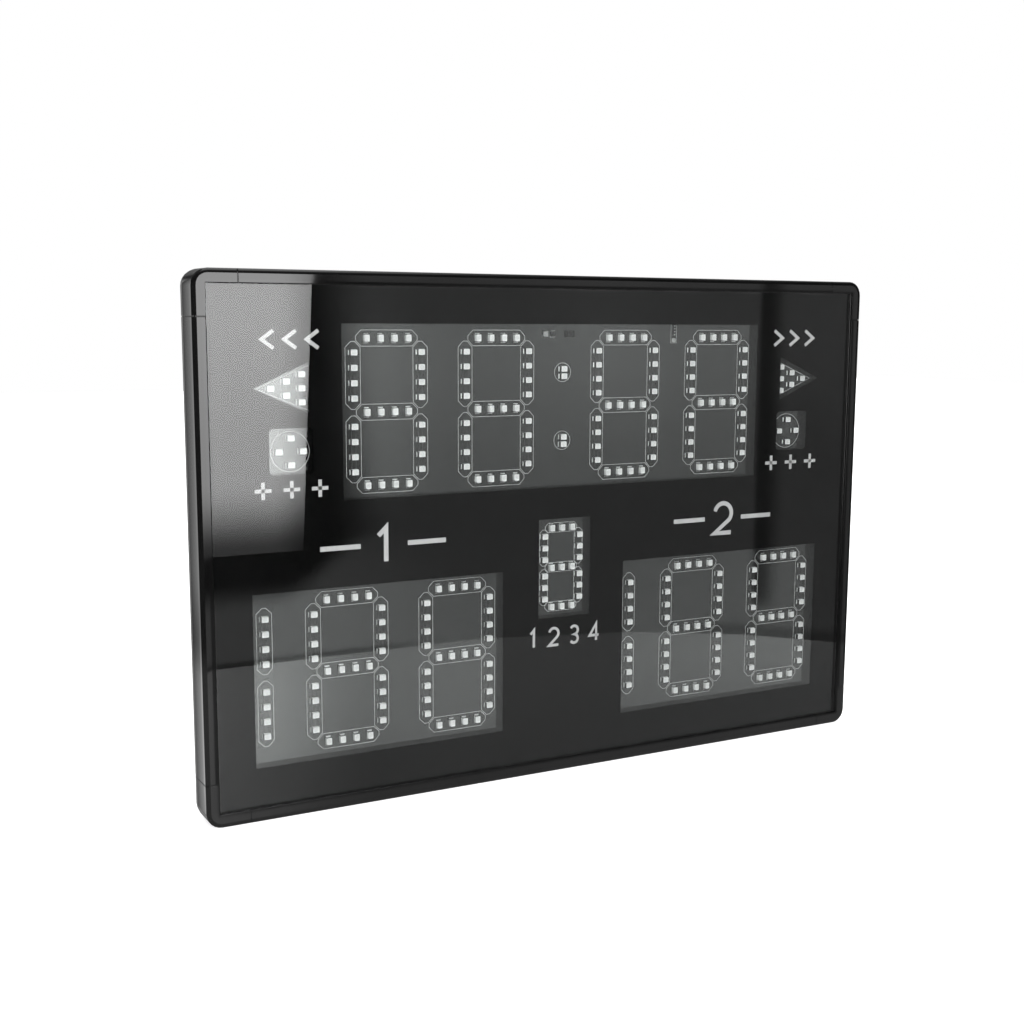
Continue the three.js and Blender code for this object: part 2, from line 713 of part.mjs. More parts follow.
// A digit of seven segments, reaching to both sides and up and down from its own middle
function digit(name, x, z, across, upward, pitchShare, count) {
  const columns = [-1, 1].flatMap((side) => columnPlaces(side * across, upward, pitchShare, count));
  const rowPitch = 2 * across * pitchShare;
  const rows = [-1, 0, 1].flatMap((level) => ledRow(0, level * upward, rowPitch, count, false));
  const uprightTracks = [-1, 1].map((side) => track([side * across, -upward], [side * across, upward]));
  const levelTracks = [-1, 0, 1].map((level) => track([-across, level * upward], [across, level * upward]));
  return ledGroup(name, [...columns, ...rows], [...uprightTracks, ...levelTracks], x, z);
}

function largeDigit(name, x, z) {
  return digit(name, x, z, digitHalfWidth, digitHalfHeight, DIGIT_PITCH_SHARE, DIGIT_SEGMENT_LEDS);
}

function hundredsColumn(name, x, z) {
  const places = columnPlaces(0, digitHalfHeight, DIGIT_PITCH_SHARE, DIGIT_SEGMENT_LEDS);
  return ledGroup(name, places, [track([0, -digitHalfHeight], [0, digitHalfHeight])], x, z);
}

function colon() {
  const spacing = COLON_SPACING_SHARE * digitHalfHeight;
  const places = [-1, 1].flatMap((side) => ledRow(0, side * spacing, COLON_LED_PITCH, COLON_DOT_LEDS, true));
  return ledGroup("clock_colon", places, [track([0, -spacing], [0, spacing])], 0, clockDigitsRise);
}

function clockGroup() {
  const group = new THREE.Group();
  const names = ["clock_minutes_tens", "clock_minutes_units", "clock_seconds_tens", "clock_seconds_units"];
  names.forEach((name, index) => group.add(largeDigit(name, clockShifts[index], clockDigitsRise)));
  group.add(colon());
  return group;
}

function scoreGroup(label, side) {
  const group = new THREE.Group();
  group.position.x = side * scoreWindowShift;
  group.add(hundredsColumn(`${label}_score_hundreds`, hundredsShift, -scoreDigitsDrop));
  group.add(largeDigit(`${label}_score_tens`, tensShift, -scoreDigitsDrop));
  group.add(largeDigit(`${label}_score_units`, unitsShift, -scoreDigitsDrop));
  return group;
}

function periodDigit() {
  const sizes = [PERIOD_HALF_WIDTH, PERIOD_HALF_HEIGHT, PERIOD_PITCH_SHARE, PERIOD_SEGMENT_LEDS];
  return digit("period_digit", 0, -PERIOD_DROP, ...sizes);
}

// One LED at the tip, two in the middle and three at the base, about the middle of the window's base
function possessionArrow(label, side) {
  const steps = [ARROW_TIP_LED_STEP, ARROW_MIDDLE_LED_STEP, ARROW_BASE_LED_STEP];
  const places = [];
  const tracks = [track([side * ARROW_TIP_LED_STEP, 0], [side * ARROW_BASE_LED_STEP, 0])];
  steps.forEach((step, index) => {
    const x = side * step;
    const reach = (index * ARROW_LED_PITCH) / 2;
    places.push(...ledRow(x, 0, ARROW_LED_PITCH, index + 1, true));
    tracks.push(track([x, -reach], [x, reach]));
  });
  const z = arrowRise - ARROW_LED_DROP;
  return ledGroup(`${label}_possession_arrow`, places, tracks, side * arrowBaseShift, z);
}

function bonusMark(label, side) {
  const places = [-1, 1].flatMap((end) => [
    { x: 0, z: end * BONUS_LED_RISE, upright: false },
    { x: end * BONUS_LED_REACH, z: 0, upright: false },
  ]);
  const tracks = [
    track([-BONUS_LED_REACH, 0], [BONUS_LED_REACH, 0]),
    track([0, -BONUS_LED_RISE], [0, BONUS_LED_RISE]),
  ];
  const x = side * (bonusShift - BONUS_LED_SHIFT);
  return ledGroup(`${label}_bonus_mark`, places, tracks, x, bonusRise - BONUS_LED_DROP);
}

function ledGroups() {
  const group = new THREE.Group();
  group.position.z = middleHeight;
  group.add(clockGroup());
  group.add(periodDigit());
  for (const [label, side] of [["left", -1], ["right", 1]]) {
    group.add(scoreGroup(label, side));
    group.add(possessionArrow(label, side));
    group.add(bonusMark(label, side));
  }
  return group;
}

// Small parts on the front of the board
function frontPart(name, width, height, length, shift, finish) {
  const body = block([-width / 2, -height, -length / 2], [width / 2, 0, length / 2]);
  const rise = halfHeight - SMALL_PARTS_MARGIN;
  return placed(piece(name, body, finish), shift, boardFront - FACE_GAP, rise);
}

function frontParts() {
  const group = new THREE.Group();
  group.position.z = middleHeight;
  const receiver = [RECEIVER_LENGTH, RECEIVER_HEIGHT, RECEIVER_WIDTH, RECEIVER_SHIFT];
  const capacitor = [CAPACITOR_SIZE, CAPACITOR_HEIGHT, CAPACITOR_SIZE, CAPACITOR_SHIFT];
  const resistor = [RESISTOR_WIDTH, RESISTOR_HEIGHT, RESISTOR_LENGTH, RESISTOR_SHIFT];
  group.add(frontPart("infrared_receiver", ...receiver, CHIP_BLACK));
  group.add(frontPart("filter_capacitor", ...capacitor, PART_TAN));
  group.add(frontPart("pull_up_resistor", ...resistor, CHIP_BLACK));
  return group;
}

// Parts on the back of the board stand towards the rear from its face.
const partSeat = boardRear + FACE_GAP;

function rearBlock(name, width, length, height, x, z, finish) {
  const body = block([-width / 2, 0, -length / 2], [width / 2, height, length / 2]);
  return placed(piece(name, body, finish), x, partSeat, z);
}

function buzzer() {
  const body = depthRod(BUZZER_RADIUS, 0, BUZZER_HEIGHT, 0, 0);
  const floor = BUZZER_HEIGHT - BUZZER_HOLE_DEPTH;
  const hole = depthRod(BUZZER_HOLE_RADIUS, floor, BUZZER_HEIGHT + OVERRUN, 0, 0);
  const mesh = piece("buzzer", combined(body, [], [hole]), CHIP_BLACK);
  return placed(mesh, buzzerShift, partSeat, -buzzerDrop);
}

// The inductor and the reservoir stand side by side above the recess.
const powerPartsRise = RECESS_HEIGHT / 2 + RECESS_WALL + POWER_PARTS_GAP - recessDrop;

function reservoir() {
  const body = depthRod(RESERVOIR_RADIUS, 0, RESERVOIR_HEIGHT, 0, 0);
  const mesh = piece("reservoir_capacitor", body, CASE_SILVER);
  return placed(mesh, recessShift - POWER_PARTS_SPREAD, partSeat, powerPartsRise);
}

function inductor() {
  const sizes = [INDUCTOR_SIZE, INDUCTOR_SIZE, INDUCTOR_HEIGHT];
  const place = [recessShift + POWER_PARTS_SPREAD, powerPartsRise];
  return rearBlock("power_inductor", ...sizes, ...place, CHIP_BLACK);
}

function rearParts() {
  const group = new THREE.Group();
  group.position.z = middleHeight;
  const controller = [CONTROLLER_SIZE, CONTROLLER_SIZE, CONTROLLER_HEIGHT];
  const driver = [DRIVER_LENGTH, DRIVER_WIDTH, DRIVER_HEIGHT];
  group.add(rearBlock("microcontroller", ...controller, 0, halfHeight - CONTROLLER_MARGIN, CHIP_BLACK));
  clockShifts.forEach((shift, index) => {
    group.add(rearBlock(`led_driver_${index + 1}`, ...driver, shift, halfHeight - DRIVER_MARGIN, CHIP_BLACK));
  });
  group.add(inductor());
  group.add(reservoir());
  group.add(buzzer());
  return group;
}

// Battery pack, held against the cover between the frame and the prop's tray, with its lead to the board
const batteryFront = coverFront - CLEARANCE - BATTERY_THICKNESS;
const batteryMiddle = batteryFront + BATTERY_THICKNESS / 2;
const batteryShift = -(halfWidth - FLANGE_INSET + trayHalfWidth) / 2;
const socketShift = batteryShift + LEAD_SOCKET_OFFSET;

function batteryLead() {
  const top = BATTERY_RISE + BATTERY_HEIGHT / 2 + CLEARANCE;
  const start = new THREE.Vector3(batteryShift + LEAD_OFFSET, batteryMiddle, top);
  const endX = socketShift - LEAD_SOCKET_LENGTH / 2 - CLEARANCE;
  const end = new THREE.Vector3(endX, partSeat + LEAD_SOCKET_HEIGHT / 2, LEAD_SOCKET_RISE);
  const up = new THREE.Vector3(0, 0, LEAD_RUN);
  const across = new THREE.Vector3(-LEAD_RUN, 0, 0);
  const route = new THREE.CubicBezierCurve3(start, start.clone().add(up), end.clone().add(across), end);
  const section = new THREE.Shape();
  section.absarc(0, 0, LEAD_RADIUS, 0, Math.PI * 2);
  const settings = { extrudePath: route, steps: LEAD_STEPS, curveSegments: arcSegments(LEAD_SIDES) };
  return piece("battery_lead", new THREE.ExtrudeGeometry(section, settings), WIRE_RED);
}

function batteryGroup() {
  const group = new THREE.Group();
  group.position.z = middleHeight;
  const outline = roundedOutline(BATTERY_WIDTH, BATTERY_HEIGHT, BATTERY_CORNER_RADIUS);
  const pack = piece("battery_pack", plate(outline, BATTERY_THICKNESS), BATTERY_SLEEVE);
  const socket = [LEAD_SOCKET_LENGTH, LEAD_SOCKET_WIDTH, LEAD_SOCKET_HEIGHT];
  const socketPlace = [socketShift, LEAD_SOCKET_RISE];
  group.add(placed(pack, batteryShift, batteryFront, BATTERY_RISE));
  group.add(rearBlock("battery_socket", ...socket, ...socketPlace, CONNECTOR_WHITE));
  group.add(batteryLead());
  return group;
}

// Rear prop: depths and heights of its pin, its flap and its tray
const pinDepth = coverRear - PROP_BARREL_RADIUS;
const pinHeight = PROP_TIP_HEIGHT + PROP_LENGTH;
const barrelFront = pinDepth - PROP_BARREL_RADIUS;
const trayFloorRear = barrelFront - PROP_FLOOR_GAP;
const trayFloorFront = trayFloorRear - TRAY_FLOOR;
const largestAngle = THREE.MathUtils.degToRad(PROP_LARGEST_ANGLE);

// The stop on the barrel meets the tray's floor when the prop is fully open.
const stopDrop = pinDepth - trayFloorRear - CLEARANCE / 2;
const stopReach = (stopDrop - (PROP_STOP_THICKNESS / 2) * Math.cos(largestAngle)) / Math.sin(largestAngle);
const trayHigh = pinHeight + stopReach + PROP_END_GAP;

// The flap is built about its pin: Y is 0 at the pin and grows towards the rear, and Z is 0 at the pin.
function propFlap() {
  const half = PROP_WIDTH / 2;
  const skinRear = PROP_BARREL_RADIUS;
  const skinFront = skinRear - PROP_SKIN;
  const ribFront = -PROP_BARREL_RADIUS;
  const low = PAD_HEIGHT + FACE_GAP - PROP_LENGTH;
  const stop = PROP_STOP_WIDTH / 2;
  const pull = PROP_PULL_WIDTH / 2;
  const skin = block([-half, skinFront, low], [half, skinRear, 0]);
  const added = [
    crossRod(PROP_BARREL_RADIUS, PROP_WIDTH),
    block([-half, ribFront, low], [PROP_RIB - half, skinRear, 0]),
    block([half - PROP_RIB, ribFront, low], [half, skinRear, 0]),
    block([-half, ribFront, low], [half, skinRear, low + PROP_RIB]),
    block([-stop, -PROP_STOP_THICKNESS / 2, 0], [stop, PROP_STOP_THICKNESS / 2, stopReach]),
    block([-pull, skinFront, low], [pull, skinRear + PROP_PULL_RISE, low + PROP_PULL_HEIGHT]),
  ];
  const bore = crossRod(PROP_BORE_RADIUS, PROP_WIDTH + OVERRUN);
  return piece("prop_flap", combined(skin, added, [bore]), BLACK_MATTE);
}

function propPad() {
  const half = PAD_WIDTH / 2;
  const low = -PROP_LENGTH;
  const body = block([-half, -PROP_BARREL_RADIUS, low], [half, PROP_BARREL_RADIUS, low + PAD_HEIGHT]);
  return piece("prop_pad", body, RUBBER);
}

function propGroup() {
  const group = new THREE.Group();
  group.position.set(0, pinDepth, pinHeight);
  group.add(propFlap());
  group.add(propPad());
  group.add(piece("prop_pin", crossRod(PIN_RADIUS, 2 * (trayHalfWidth + PIN_OVERHANG)), STEEL));
  return group;
}

// Places of the cover's screws, from the middle of the face
function screwPlaces() {
  const x = halfWidth - SCREW_INSET;
  const z = halfHeight - SCREW_INSET;
  return [
    { x: -x, z: -z },
    { x: -MIDDLE_SCREW_SHIFT, z: -z },
    { x: MIDDLE_SCREW_SHIFT, z: -z },
    { x, z: -z },
    { x: -x, z },
    { x: -MIDDLE_SCREW_SHIFT, z },
    { x: MIDDLE_SCREW_SHIFT, z },
    { x, z },
  ];
}

// A keyhole for a wall screw: a round entry with a slot above it.
function keyholeOutline() {
  const outline = new THREE.Shape();
  const mouth = Math.asin(KEYHOLE_SLOT_HALF_WIDTH / KEYHOLE_RADIUS);
  outline.absarc(0, 0, KEYHOLE_RADIUS, Math.PI / 2 + mouth, Math.PI * 2.5 - mouth);
  outline.absarc(0, KEYHOLE_SLOT_RISE, KEYHOLE_SLOT_HALF_WIDTH, 0, Math.PI);
  outline.closePath();
  return outline;
}

function coverPanel() {
  const radius = Math.max(CORNER_RADIUS - coverInset, LEAST_RADIUS);
  const outline = roundedOutline(WIDTH - 2 * coverInset, HEIGHT - 2 * coverInset, radius);
  return plate(outline, COVER_THICKNESS).translate(0, coverFront, 0);
}

// Holes right through the panel: screws, keyholes and the buzzer's sound slots
function coverHoles() {
  const front = coverFront - OVERRUN;
  const rear = coverRear + OVERRUN;
  const holes = [];
  for (const { x, z } of screwPlaces()) {
    holes.push(depthRod(SCREW_HOLE_RADIUS, front, rear, x, z, HOLE_STEPS));
    holes.push(depthRod(COUNTERBORE_RADIUS, coverRear - COUNTERBORE_DEPTH, rear, x, z, SCREW_STEPS));
  }
  for (const side of [-1, 1]) {
    const keyhole = plate(keyholeOutline(), rear - front, HOLE_STEPS);
    holes.push(keyhole.translate(side * keyholeShift, front, keyholeRise));
  }
  for (let index = 0; index < SOUND_SLOT_COUNT; index += 1) {
    const x = buzzerShift + (index - (SOUND_SLOT_COUNT - 1) / 2) * SOUND_SLOT_PITCH;
    const low = [x - SOUND_SLOT_WIDTH / 2, front, -buzzerDrop - SOUND_SLOT_HEIGHT / 2];
    holes.push(block(low, [low[0] + SOUND_SLOT_WIDTH, rear, low[2] + SOUND_SLOT_HEIGHT]));
  }
  return holes;
}

// Recess for the inlet and the switch, in depths from the front and heights from the middle
const recessFloorRear = coverRear - RECESS_DEPTH;
const recessFloorFront = recessFloorRear - RECESS_FLOOR;
const inletX = recessShift + INLET_OFFSET;
const switchX = recessShift + SWITCH_OFFSET;

function recessBlock(grow, front, rear) {
  const across = RECESS_WIDTH / 2 + grow;
  const upward = RECESS_HEIGHT / 2 + grow;
  return block(
    [recessShift - across, front, -recessDrop - upward],
    [recessShift + across, rear, -recessDrop + upward],
  );
}

function trayBlock(grow, front, rear) {
  const half = PROP_WIDTH / 2 + PROP_SIDE_GAP + grow;
  const low = PROP_TIP_HEIGHT - PROP_END_GAP - grow - middleHeight;
  return block([-half, front, low], [half, rear, trayHigh + grow - middleHeight]);
}

function switchOpening() {
  const across = SWITCH_BODY_WIDTH / 2 + CLEARANCE;
  const upward = SWITCH_BODY_HEIGHT / 2 + CLEARANCE;
  return block(
    [switchX - across, recessFloorFront - OVERRUN, -recessDrop - upward],
    [switchX + across, recessFloorRear + OVERRUN, -recessDrop + upward],
  );
}

function rearCover() {
  const pinHole = crossRod(PIN_HOLE_RADIUS, 2 * (trayHalfWidth + OVERRUN));
  pinHole.translate(0, pinDepth, pinHeight - middleHeight);
  const inletHole = depthRod(
    INLET_COLLAR_RADIUS + CLEARANCE,
    recessFloorFront - OVERRUN,
    recessFloorRear + OVERRUN,
    inletX,
    -recessDrop,
  );
  const added = [
    trayBlock(TRAY_WALL, trayFloorFront, coverRear),
    recessBlock(RECESS_WALL, recessFloorFront, coverRear),
  ];
  const removed = [
    ...coverHoles(),
    trayBlock(0, trayFloorRear, coverRear + OVERRUN),
    recessBlock(0, recessFloorRear, coverRear + OVERRUN),
    pinHole,
    inletHole,
    switchOpening(),
  ];
  return placed(piece("rear_cover", combined(coverPanel(), added, removed), BLACK_MATTE), 0, 0, middleHeight);
}

// A screw's head seats in its counterbore: Y is 0 under the head and grows towards the rear.
function screwGeometry() {
  const seatDepth = coverRear - COUNTERBORE_DEPTH;
  const head = depthRod(SCREW_HEAD_RADIUS, 0, SCREW_HEAD_HEIGHT, 0, 0, SCREW_STEPS);
  const shank = depthRod(SCREW_SHANK_RADIUS, SCREW_TIP_DEPTH - seatDepth, CLEARANCE, 0, 0, SCREW_STEPS);
  const long = SCREW_CROSS_LENGTH / 2;
  const narrow = SCREW_CROSS_WIDTH / 2;
  const floor = SCREW_HEAD_HEIGHT - SCREW_CROSS_DEPTH;
  const top = SCREW_HEAD_HEIGHT + OVERRUN;
  const cross = [
    block([-long, floor, -narrow], [long, top, narrow]),
    block([-narrow, floor, -long], [narrow, top, long]),
  ];
  return combined(head, [shank], cross);
}

function coverScrews() {
  const group = new THREE.Group();
  group.position.z = middleHeight;
  screwPlaces().forEach(({ x, z }, index) => {
    const mesh = piece(`cover_screw_${index + 1}`, screwGeometry(), STEEL);
    group.add(placed(mesh, x, coverRear - COUNTERBORE_DEPTH + FACE_GAP, z));
  });
  return group;
}

// Power inlet, built about its own axis with Y as the depth
function powerInlet() {
  const half = INLET_BODY_SIZE / 2;
  const rear = recessFloorRear + INLET_COLLAR_RISE;
  const boreFloor = rear - INLET_BORE_DEPTH;
  const body = block([-half, partSeat, -half], [half, recessFloorFront - FACE_GAP, half]);
  const collar = depthRod(INLET_COLLAR_RADIUS, partSeat + OVERRUN, rear, 0, 0);
  const bore = depthRod(INLET_BORE_RADIUS, boreFloor, rear + OVERRUN, 0, 0);
  const socket = combined(body, [collar], [bore]);
  const pin = depthRod(INLET_PIN_RADIUS, boreFloor - OVERRUN, boreFloor + INLET_PIN_LENGTH, 0, 0);
  return placed(piece("power_inlet", combined(socket, [pin]), CHIP_BLACK), inletX, 0, -recessDrop);
}

// Power switch, with its pivot in the plane of the bezel's rear face
const pivotDepth = recessFloorRear + FACE_GAP + BEZEL_THICKNESS - CLEARANCE;
const switchCavityHalfWidth = ROCKER_WIDTH / 2 + CLEARANCE;
const switchCavityHalfHeight = SWITCH_BODY_HEIGHT / 2 - SWITCH_WALL;

function switchHousing() {
  const bezelFront = recessFloorRear + FACE_GAP;
  const bezelRear = bezelFront + BEZEL_THICKNESS;
  const bodyFront = bezelFront - SWITCH_BODY_DEPTH;
  const bodyHalf = SWITCH_BODY_WIDTH / 2;
  const bodyRise = SWITCH_BODY_HEIGHT / 2;
  const bezelHalf = BEZEL_WIDTH / 2;
  const bezelRise = BEZEL_HEIGHT / 2;
  const cavityFront = bezelRear - SWITCH_CAVITY_DEPTH;
  const bezel = block([-bezelHalf, bezelFront, -bezelRise], [bezelHalf, bezelRear, bezelRise]);
  const body = block([-bodyHalf, bodyFront, -bodyRise], [bodyHalf, bezelRear, bodyRise]);
  const cavity = block(
    [-switchCavityHalfWidth, cavityFront, -switchCavityHalfHeight],
    [switchCavityHalfWidth, bezelRear + OVERRUN, switchCavityHalfHeight],
  );
  const socketLength = 2 * (switchCavityHalfWidth + ROCKER_AXLE_REACH);
  const axleSocket = crossRod(ROCKER_AXLE_RADIUS + CLEARANCE / 2, socketLength);
  axleSocket.translate(0, pivotDepth, 0);
  const mesh = piece("switch_housing", combined(bezel, [body], [cavity, axleSocket]), CHIP_BLACK);
  return placed(mesh, switchX, 0, -recessDrop);
}

// The rocker is drawn level about its pivot, with Y towards the rear, and then tilted to its off position.
function powerRocker() {
  const outline = new THREE.Shape([
    new THREE.Vector2(-ROCKER_HALF_LENGTH, ROCKER_END_RISE),
    new THREE.Vector2(-ROCKER_HALF_FOOT, -ROCKER_FOOT_DROP),
    new THREE.Vector2(0, -ROCKER_KEEL_DROP),
    new THREE.Vector2(ROCKER_HALF_FOOT, -ROCKER_FOOT_DROP),
    new THREE.Vector2(ROCKER_HALF_LENGTH, ROCKER_END_RISE),
    new THREE.Vector2(0, ROCKER_MIDDLE_RISE),
  ]);
  const body = new THREE.ExtrudeGeometry(outline, { depth: ROCKER_WIDTH, bevelEnabled: false });
  body.translate(0, 0, -ROCKER_WIDTH / 2);
  body.rotateY(-Math.PI / 2);
  const axleLength = ROCKER_WIDTH + 2 * ROCKER_AXLE_REACH;
  const mesh = piece("power_rocker", combined(body, [crossRod(ROCKER_AXLE_RADIUS, axleLength)]), BLACK_GLOSS);
  mesh.rotation.x = THREE.MathUtils.degToRad(-ROCKER_TILT);
  return placed(mesh, switchX, pivotDepth, -recessDrop);
}

function powerGroup() {
  const group = new THREE.Group();
  group.position.z = middleHeight;
  group.add(powerInlet());
  group.add(switchHousing());
  group.add(powerRocker());
  return group;
}

const scoreboard = new THREE.Group();
scoreboard.position.y = -DEPTH / 2;
scoreboard.add(frameGroup());
scoreboard.add(plateGroup());
scoreboard.add(ledGroups());
scoreboard.add(frontParts());
scoreboard.add(rearParts());
scoreboard.add(batteryGroup());
scoreboard.add(rearCover());
scoreboard.add(coverScrews());
scoreboard.add(propGroup());
scoreboard.add(powerGroup());

export default scoreboard;
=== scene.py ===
import json
import math

import bmesh
import bpy
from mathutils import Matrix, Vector

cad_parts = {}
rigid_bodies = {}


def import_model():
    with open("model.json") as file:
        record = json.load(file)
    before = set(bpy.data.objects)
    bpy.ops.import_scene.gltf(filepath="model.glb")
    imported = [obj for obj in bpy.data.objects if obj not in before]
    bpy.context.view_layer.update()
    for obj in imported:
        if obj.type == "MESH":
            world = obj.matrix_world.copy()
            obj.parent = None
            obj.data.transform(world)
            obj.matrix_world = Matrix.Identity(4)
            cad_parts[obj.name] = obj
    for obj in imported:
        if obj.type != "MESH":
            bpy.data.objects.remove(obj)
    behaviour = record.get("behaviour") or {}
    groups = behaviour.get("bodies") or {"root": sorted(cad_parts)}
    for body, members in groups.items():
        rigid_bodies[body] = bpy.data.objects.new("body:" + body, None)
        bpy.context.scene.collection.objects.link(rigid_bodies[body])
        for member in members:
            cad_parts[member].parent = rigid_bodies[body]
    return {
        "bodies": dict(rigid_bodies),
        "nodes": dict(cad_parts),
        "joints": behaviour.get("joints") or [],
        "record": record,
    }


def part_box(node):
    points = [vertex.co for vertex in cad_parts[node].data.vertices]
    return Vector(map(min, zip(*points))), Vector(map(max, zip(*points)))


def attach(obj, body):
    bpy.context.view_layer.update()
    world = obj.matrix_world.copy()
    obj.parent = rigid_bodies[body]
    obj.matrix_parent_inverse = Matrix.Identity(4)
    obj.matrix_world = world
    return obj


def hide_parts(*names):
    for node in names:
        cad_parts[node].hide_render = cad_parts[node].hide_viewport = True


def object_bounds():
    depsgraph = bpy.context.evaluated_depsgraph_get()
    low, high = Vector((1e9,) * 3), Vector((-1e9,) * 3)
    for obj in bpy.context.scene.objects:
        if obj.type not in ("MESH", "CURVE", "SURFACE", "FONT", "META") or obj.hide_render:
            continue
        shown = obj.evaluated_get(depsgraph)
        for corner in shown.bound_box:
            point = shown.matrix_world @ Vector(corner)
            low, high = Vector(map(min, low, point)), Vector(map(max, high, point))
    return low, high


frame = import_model()
cad_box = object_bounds()

# The looks of an electronic scoreboard, in metres. The front faces -Y, X runs to the right and Z upwards.
# Places on the face are given as X from its middle and Z from the middle of its height.

MM = 0.001

# Half of the part's width and height, in millimetres
HALF_WIDTH = 187.5
HALF_HEIGHT = 125.0

# The face and the depths of what lies behind it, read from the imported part
FACE_Y = cad_box[0][1]
FACE_MIDDLE = (cad_box[0][2] + cad_box[1][2]) / 2
BOARD_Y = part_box("led_board")[0][1]
PRINT_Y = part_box("front_print")[0][1]
PRINT_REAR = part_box("front_print")[1][1]
SHEET_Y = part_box("front_sheet")[0][1]

# Camera of the photograph
CAMERA_PLACE = (-352.69 * MM, -598.69 * MM, 226.75 * MM)
CAMERA_TURN = (81.42565, -0.20395, -28.43473)
CAMERA_LENS = 48.526
CAMERA_SENSOR = 36.0
CAMERA_SHIFT = (0.004705, 0.019163)
CAMERA_NEAR = 0.01


def make_camera():
    data = bpy.data.cameras.new("camera")
    data.lens = CAMERA_LENS
    data.sensor_width = CAMERA_SENSOR
    data.shift_x, data.shift_y = CAMERA_SHIFT
    data.clip_start = CAMERA_NEAR
    camera = bpy.data.objects.new("camera", data)
    camera.location = CAMERA_PLACE
    camera.rotation_euler = [math.radians(angle) for angle in CAMERA_TURN]
    bpy.context.collection.objects.link(camera)
    bpy.context.scene.camera = camera


# Materials are small trees of nodes on object coordinates. A noise lies mostly between these two values,
# which are spread over the whole range of a finish.
NOISE_LOW = 0.3
NOISE_HIGH = 0.7
NOISE_DETAIL = 3.0
NOISE_ROUGH = 0.55
FINE_BUMP = 0.02 * MM


def spread(tree, source, *ends):
    """A node that maps a source between the first two ends to values between the last two."""
    node = tree.nodes.new("ShaderNodeMapRange")
    for socket, value in zip(("From Min", "From Max", "To Min", "To Max"), ends):
        node.inputs[socket].default_value = value
    tree.links.new(source, node.inputs["Value"])
    return node


def show(tree, output, shader, ray, other):
    """Gives one kind of ray another shader than the rest."""
    mix = tree.nodes.new("ShaderNodeMixShader")
    tree.links.new(tree.nodes.new("ShaderNodeLightPath").outputs[ray], mix.inputs[0])
    tree.links.new(shader.outputs[0], mix.inputs[1])
    tree.links.new(other.outputs[0], mix.inputs[2])
    tree.links.new(mix.outputs[0], output.inputs["Surface"])


class Look:
    """A material under construction, with a Principled shader and helpers for its inputs."""

    def __init__(self, name):
        self.material = bpy.data.materials.new(name)
        self.material.use_nodes = True
        self.nodes = self.material.node_tree.nodes
        self.links = self.material.node_tree.links
        self.nodes.clear()
        self.output = self.nodes.new("ShaderNodeOutputMaterial")
        self.shader = self.nodes.new("ShaderNodeBsdfPrincipled")
        self.place = self.nodes.new("ShaderNodeTexCoord").outputs["Object"]
        self.links.new(self.shader.outputs[0], self.output.inputs["Surface"])

    def set(self, socket, value):
        self.shader.inputs[socket].default_value = value

    def noise(self, scale, detail=NOISE_DETAIL, rough=NOISE_ROUGH):
        """A noise of the given scale in cycles a metre. Returns its factor from 0 to 1."""
        noise = self.nodes.new("ShaderNodeTexNoise")
        for socket, value in (("Scale", scale), ("Detail", detail), ("Roughness", rough)):
            noise.inputs[socket].default_value = value
        self.links.new(self.place, noise.inputs["Vector"])
        return noise.outputs[0]

    def span(self, factor, low, high):
        """A noise's factor spread over the values between low and high."""
        return spread(self.material.node_tree, factor, NOISE_LOW, NOISE_HIGH, low, high).outputs[0]

    def tint(self, factor, low, high):
        """A colour between two greys or colours, by a noise's factor."""
        ramp = self.nodes.new("ShaderNodeValToRGB")
        first, last = ramp.color_ramp.elements
        first.position, last.position = NOISE_LOW, NOISE_HIGH
        first.color, last.color = colour(low), colour(high)
        self.links.new(factor, ramp.inputs[0])
        return ramp.outputs[0]

    def vary(self, tones, tone_scale, rough, rough_scale, detail=NOISE_DETAIL):
        """Lets the tone and the roughness wander, each between two values and at its own scale."""
        self.feed(self.tint(self.noise(tone_scale), *tones), "Base Color")
        self.feed(self.span(self.noise(rough_scale, detail), *rough), "Roughness")

    def feed(self, output, socket):
        self.links.new(output, self.shader.inputs[socket])

    def bump(self, height, strength, distance):
        node = self.nodes.new("ShaderNodeBump")
        node.inputs["Strength"].default_value = strength
        node.inputs["Distance"].default_value = distance
        self.links.new(height, node.inputs["Height"])
        self.feed(node.outputs[0], "Normal")


def colour(value):
    """A grey from one number, or a colour from three."""
    if isinstance(value, (int, float)):
        value = (value, value, value)
    return (*value, 1.0)


def gloss_plastic():
    """Injection-moulded black gloss, with a faint orange peel and uneven polish."""
    look = Look("gloss_black_plastic")
    look.vary((0.0034, 0.0050), 30, (0.025, 0.05), 55, 4)
    look.bump(look.noise(420, 2), 0.05, FINE_BUMP)
    look.set("IOR", 1.5)
    return look.material


def grained_plastic(name, low, high, grain=2600, depth=0.03 * MM, rough=(0.42, 0.56)):
    """Moulded plastic with a fine spark-eroded grain."""
    look = Look(name)
    look.vary((low, high), 18, rough, 140)
    look.bump(look.noise(grain, 3, 0.6), 0.35, depth)
    return look.material


def clear_acrylic():
    """Clear sheet that lets lamps through to what lies behind it."""
    look = Look("clear_acrylic")
    look.set("Base Color", colour((0.97, 0.985, 0.98)))
    look.set("Transmission Weight", 1.0)
    look.set("IOR", 1.49)
    look.feed(look.span(look.noise(60), 0.0, 0.003), "Roughness")
    clear = look.nodes.new("ShaderNodeBsdfTransparent")
    clear.inputs[0].default_value = colour(0.93)
    show(look.material.node_tree, look.output, look.shader, "Is Shadow Ray", clear)
    return look.material


def plain_look(name, low, high, rough, scale=200.0, grain=900.0, bump=0.1, metal=0.0):
    """A finish with slight variation of its tone and roughness and a fine bump."""
    look = Look(name)
    look.set("Metallic", metal)
    look.vary((low, high), scale, rough, scale * 2)
    look.bump(look.noise(grain, 2), bump, FINE_BUMP)
    return look.material


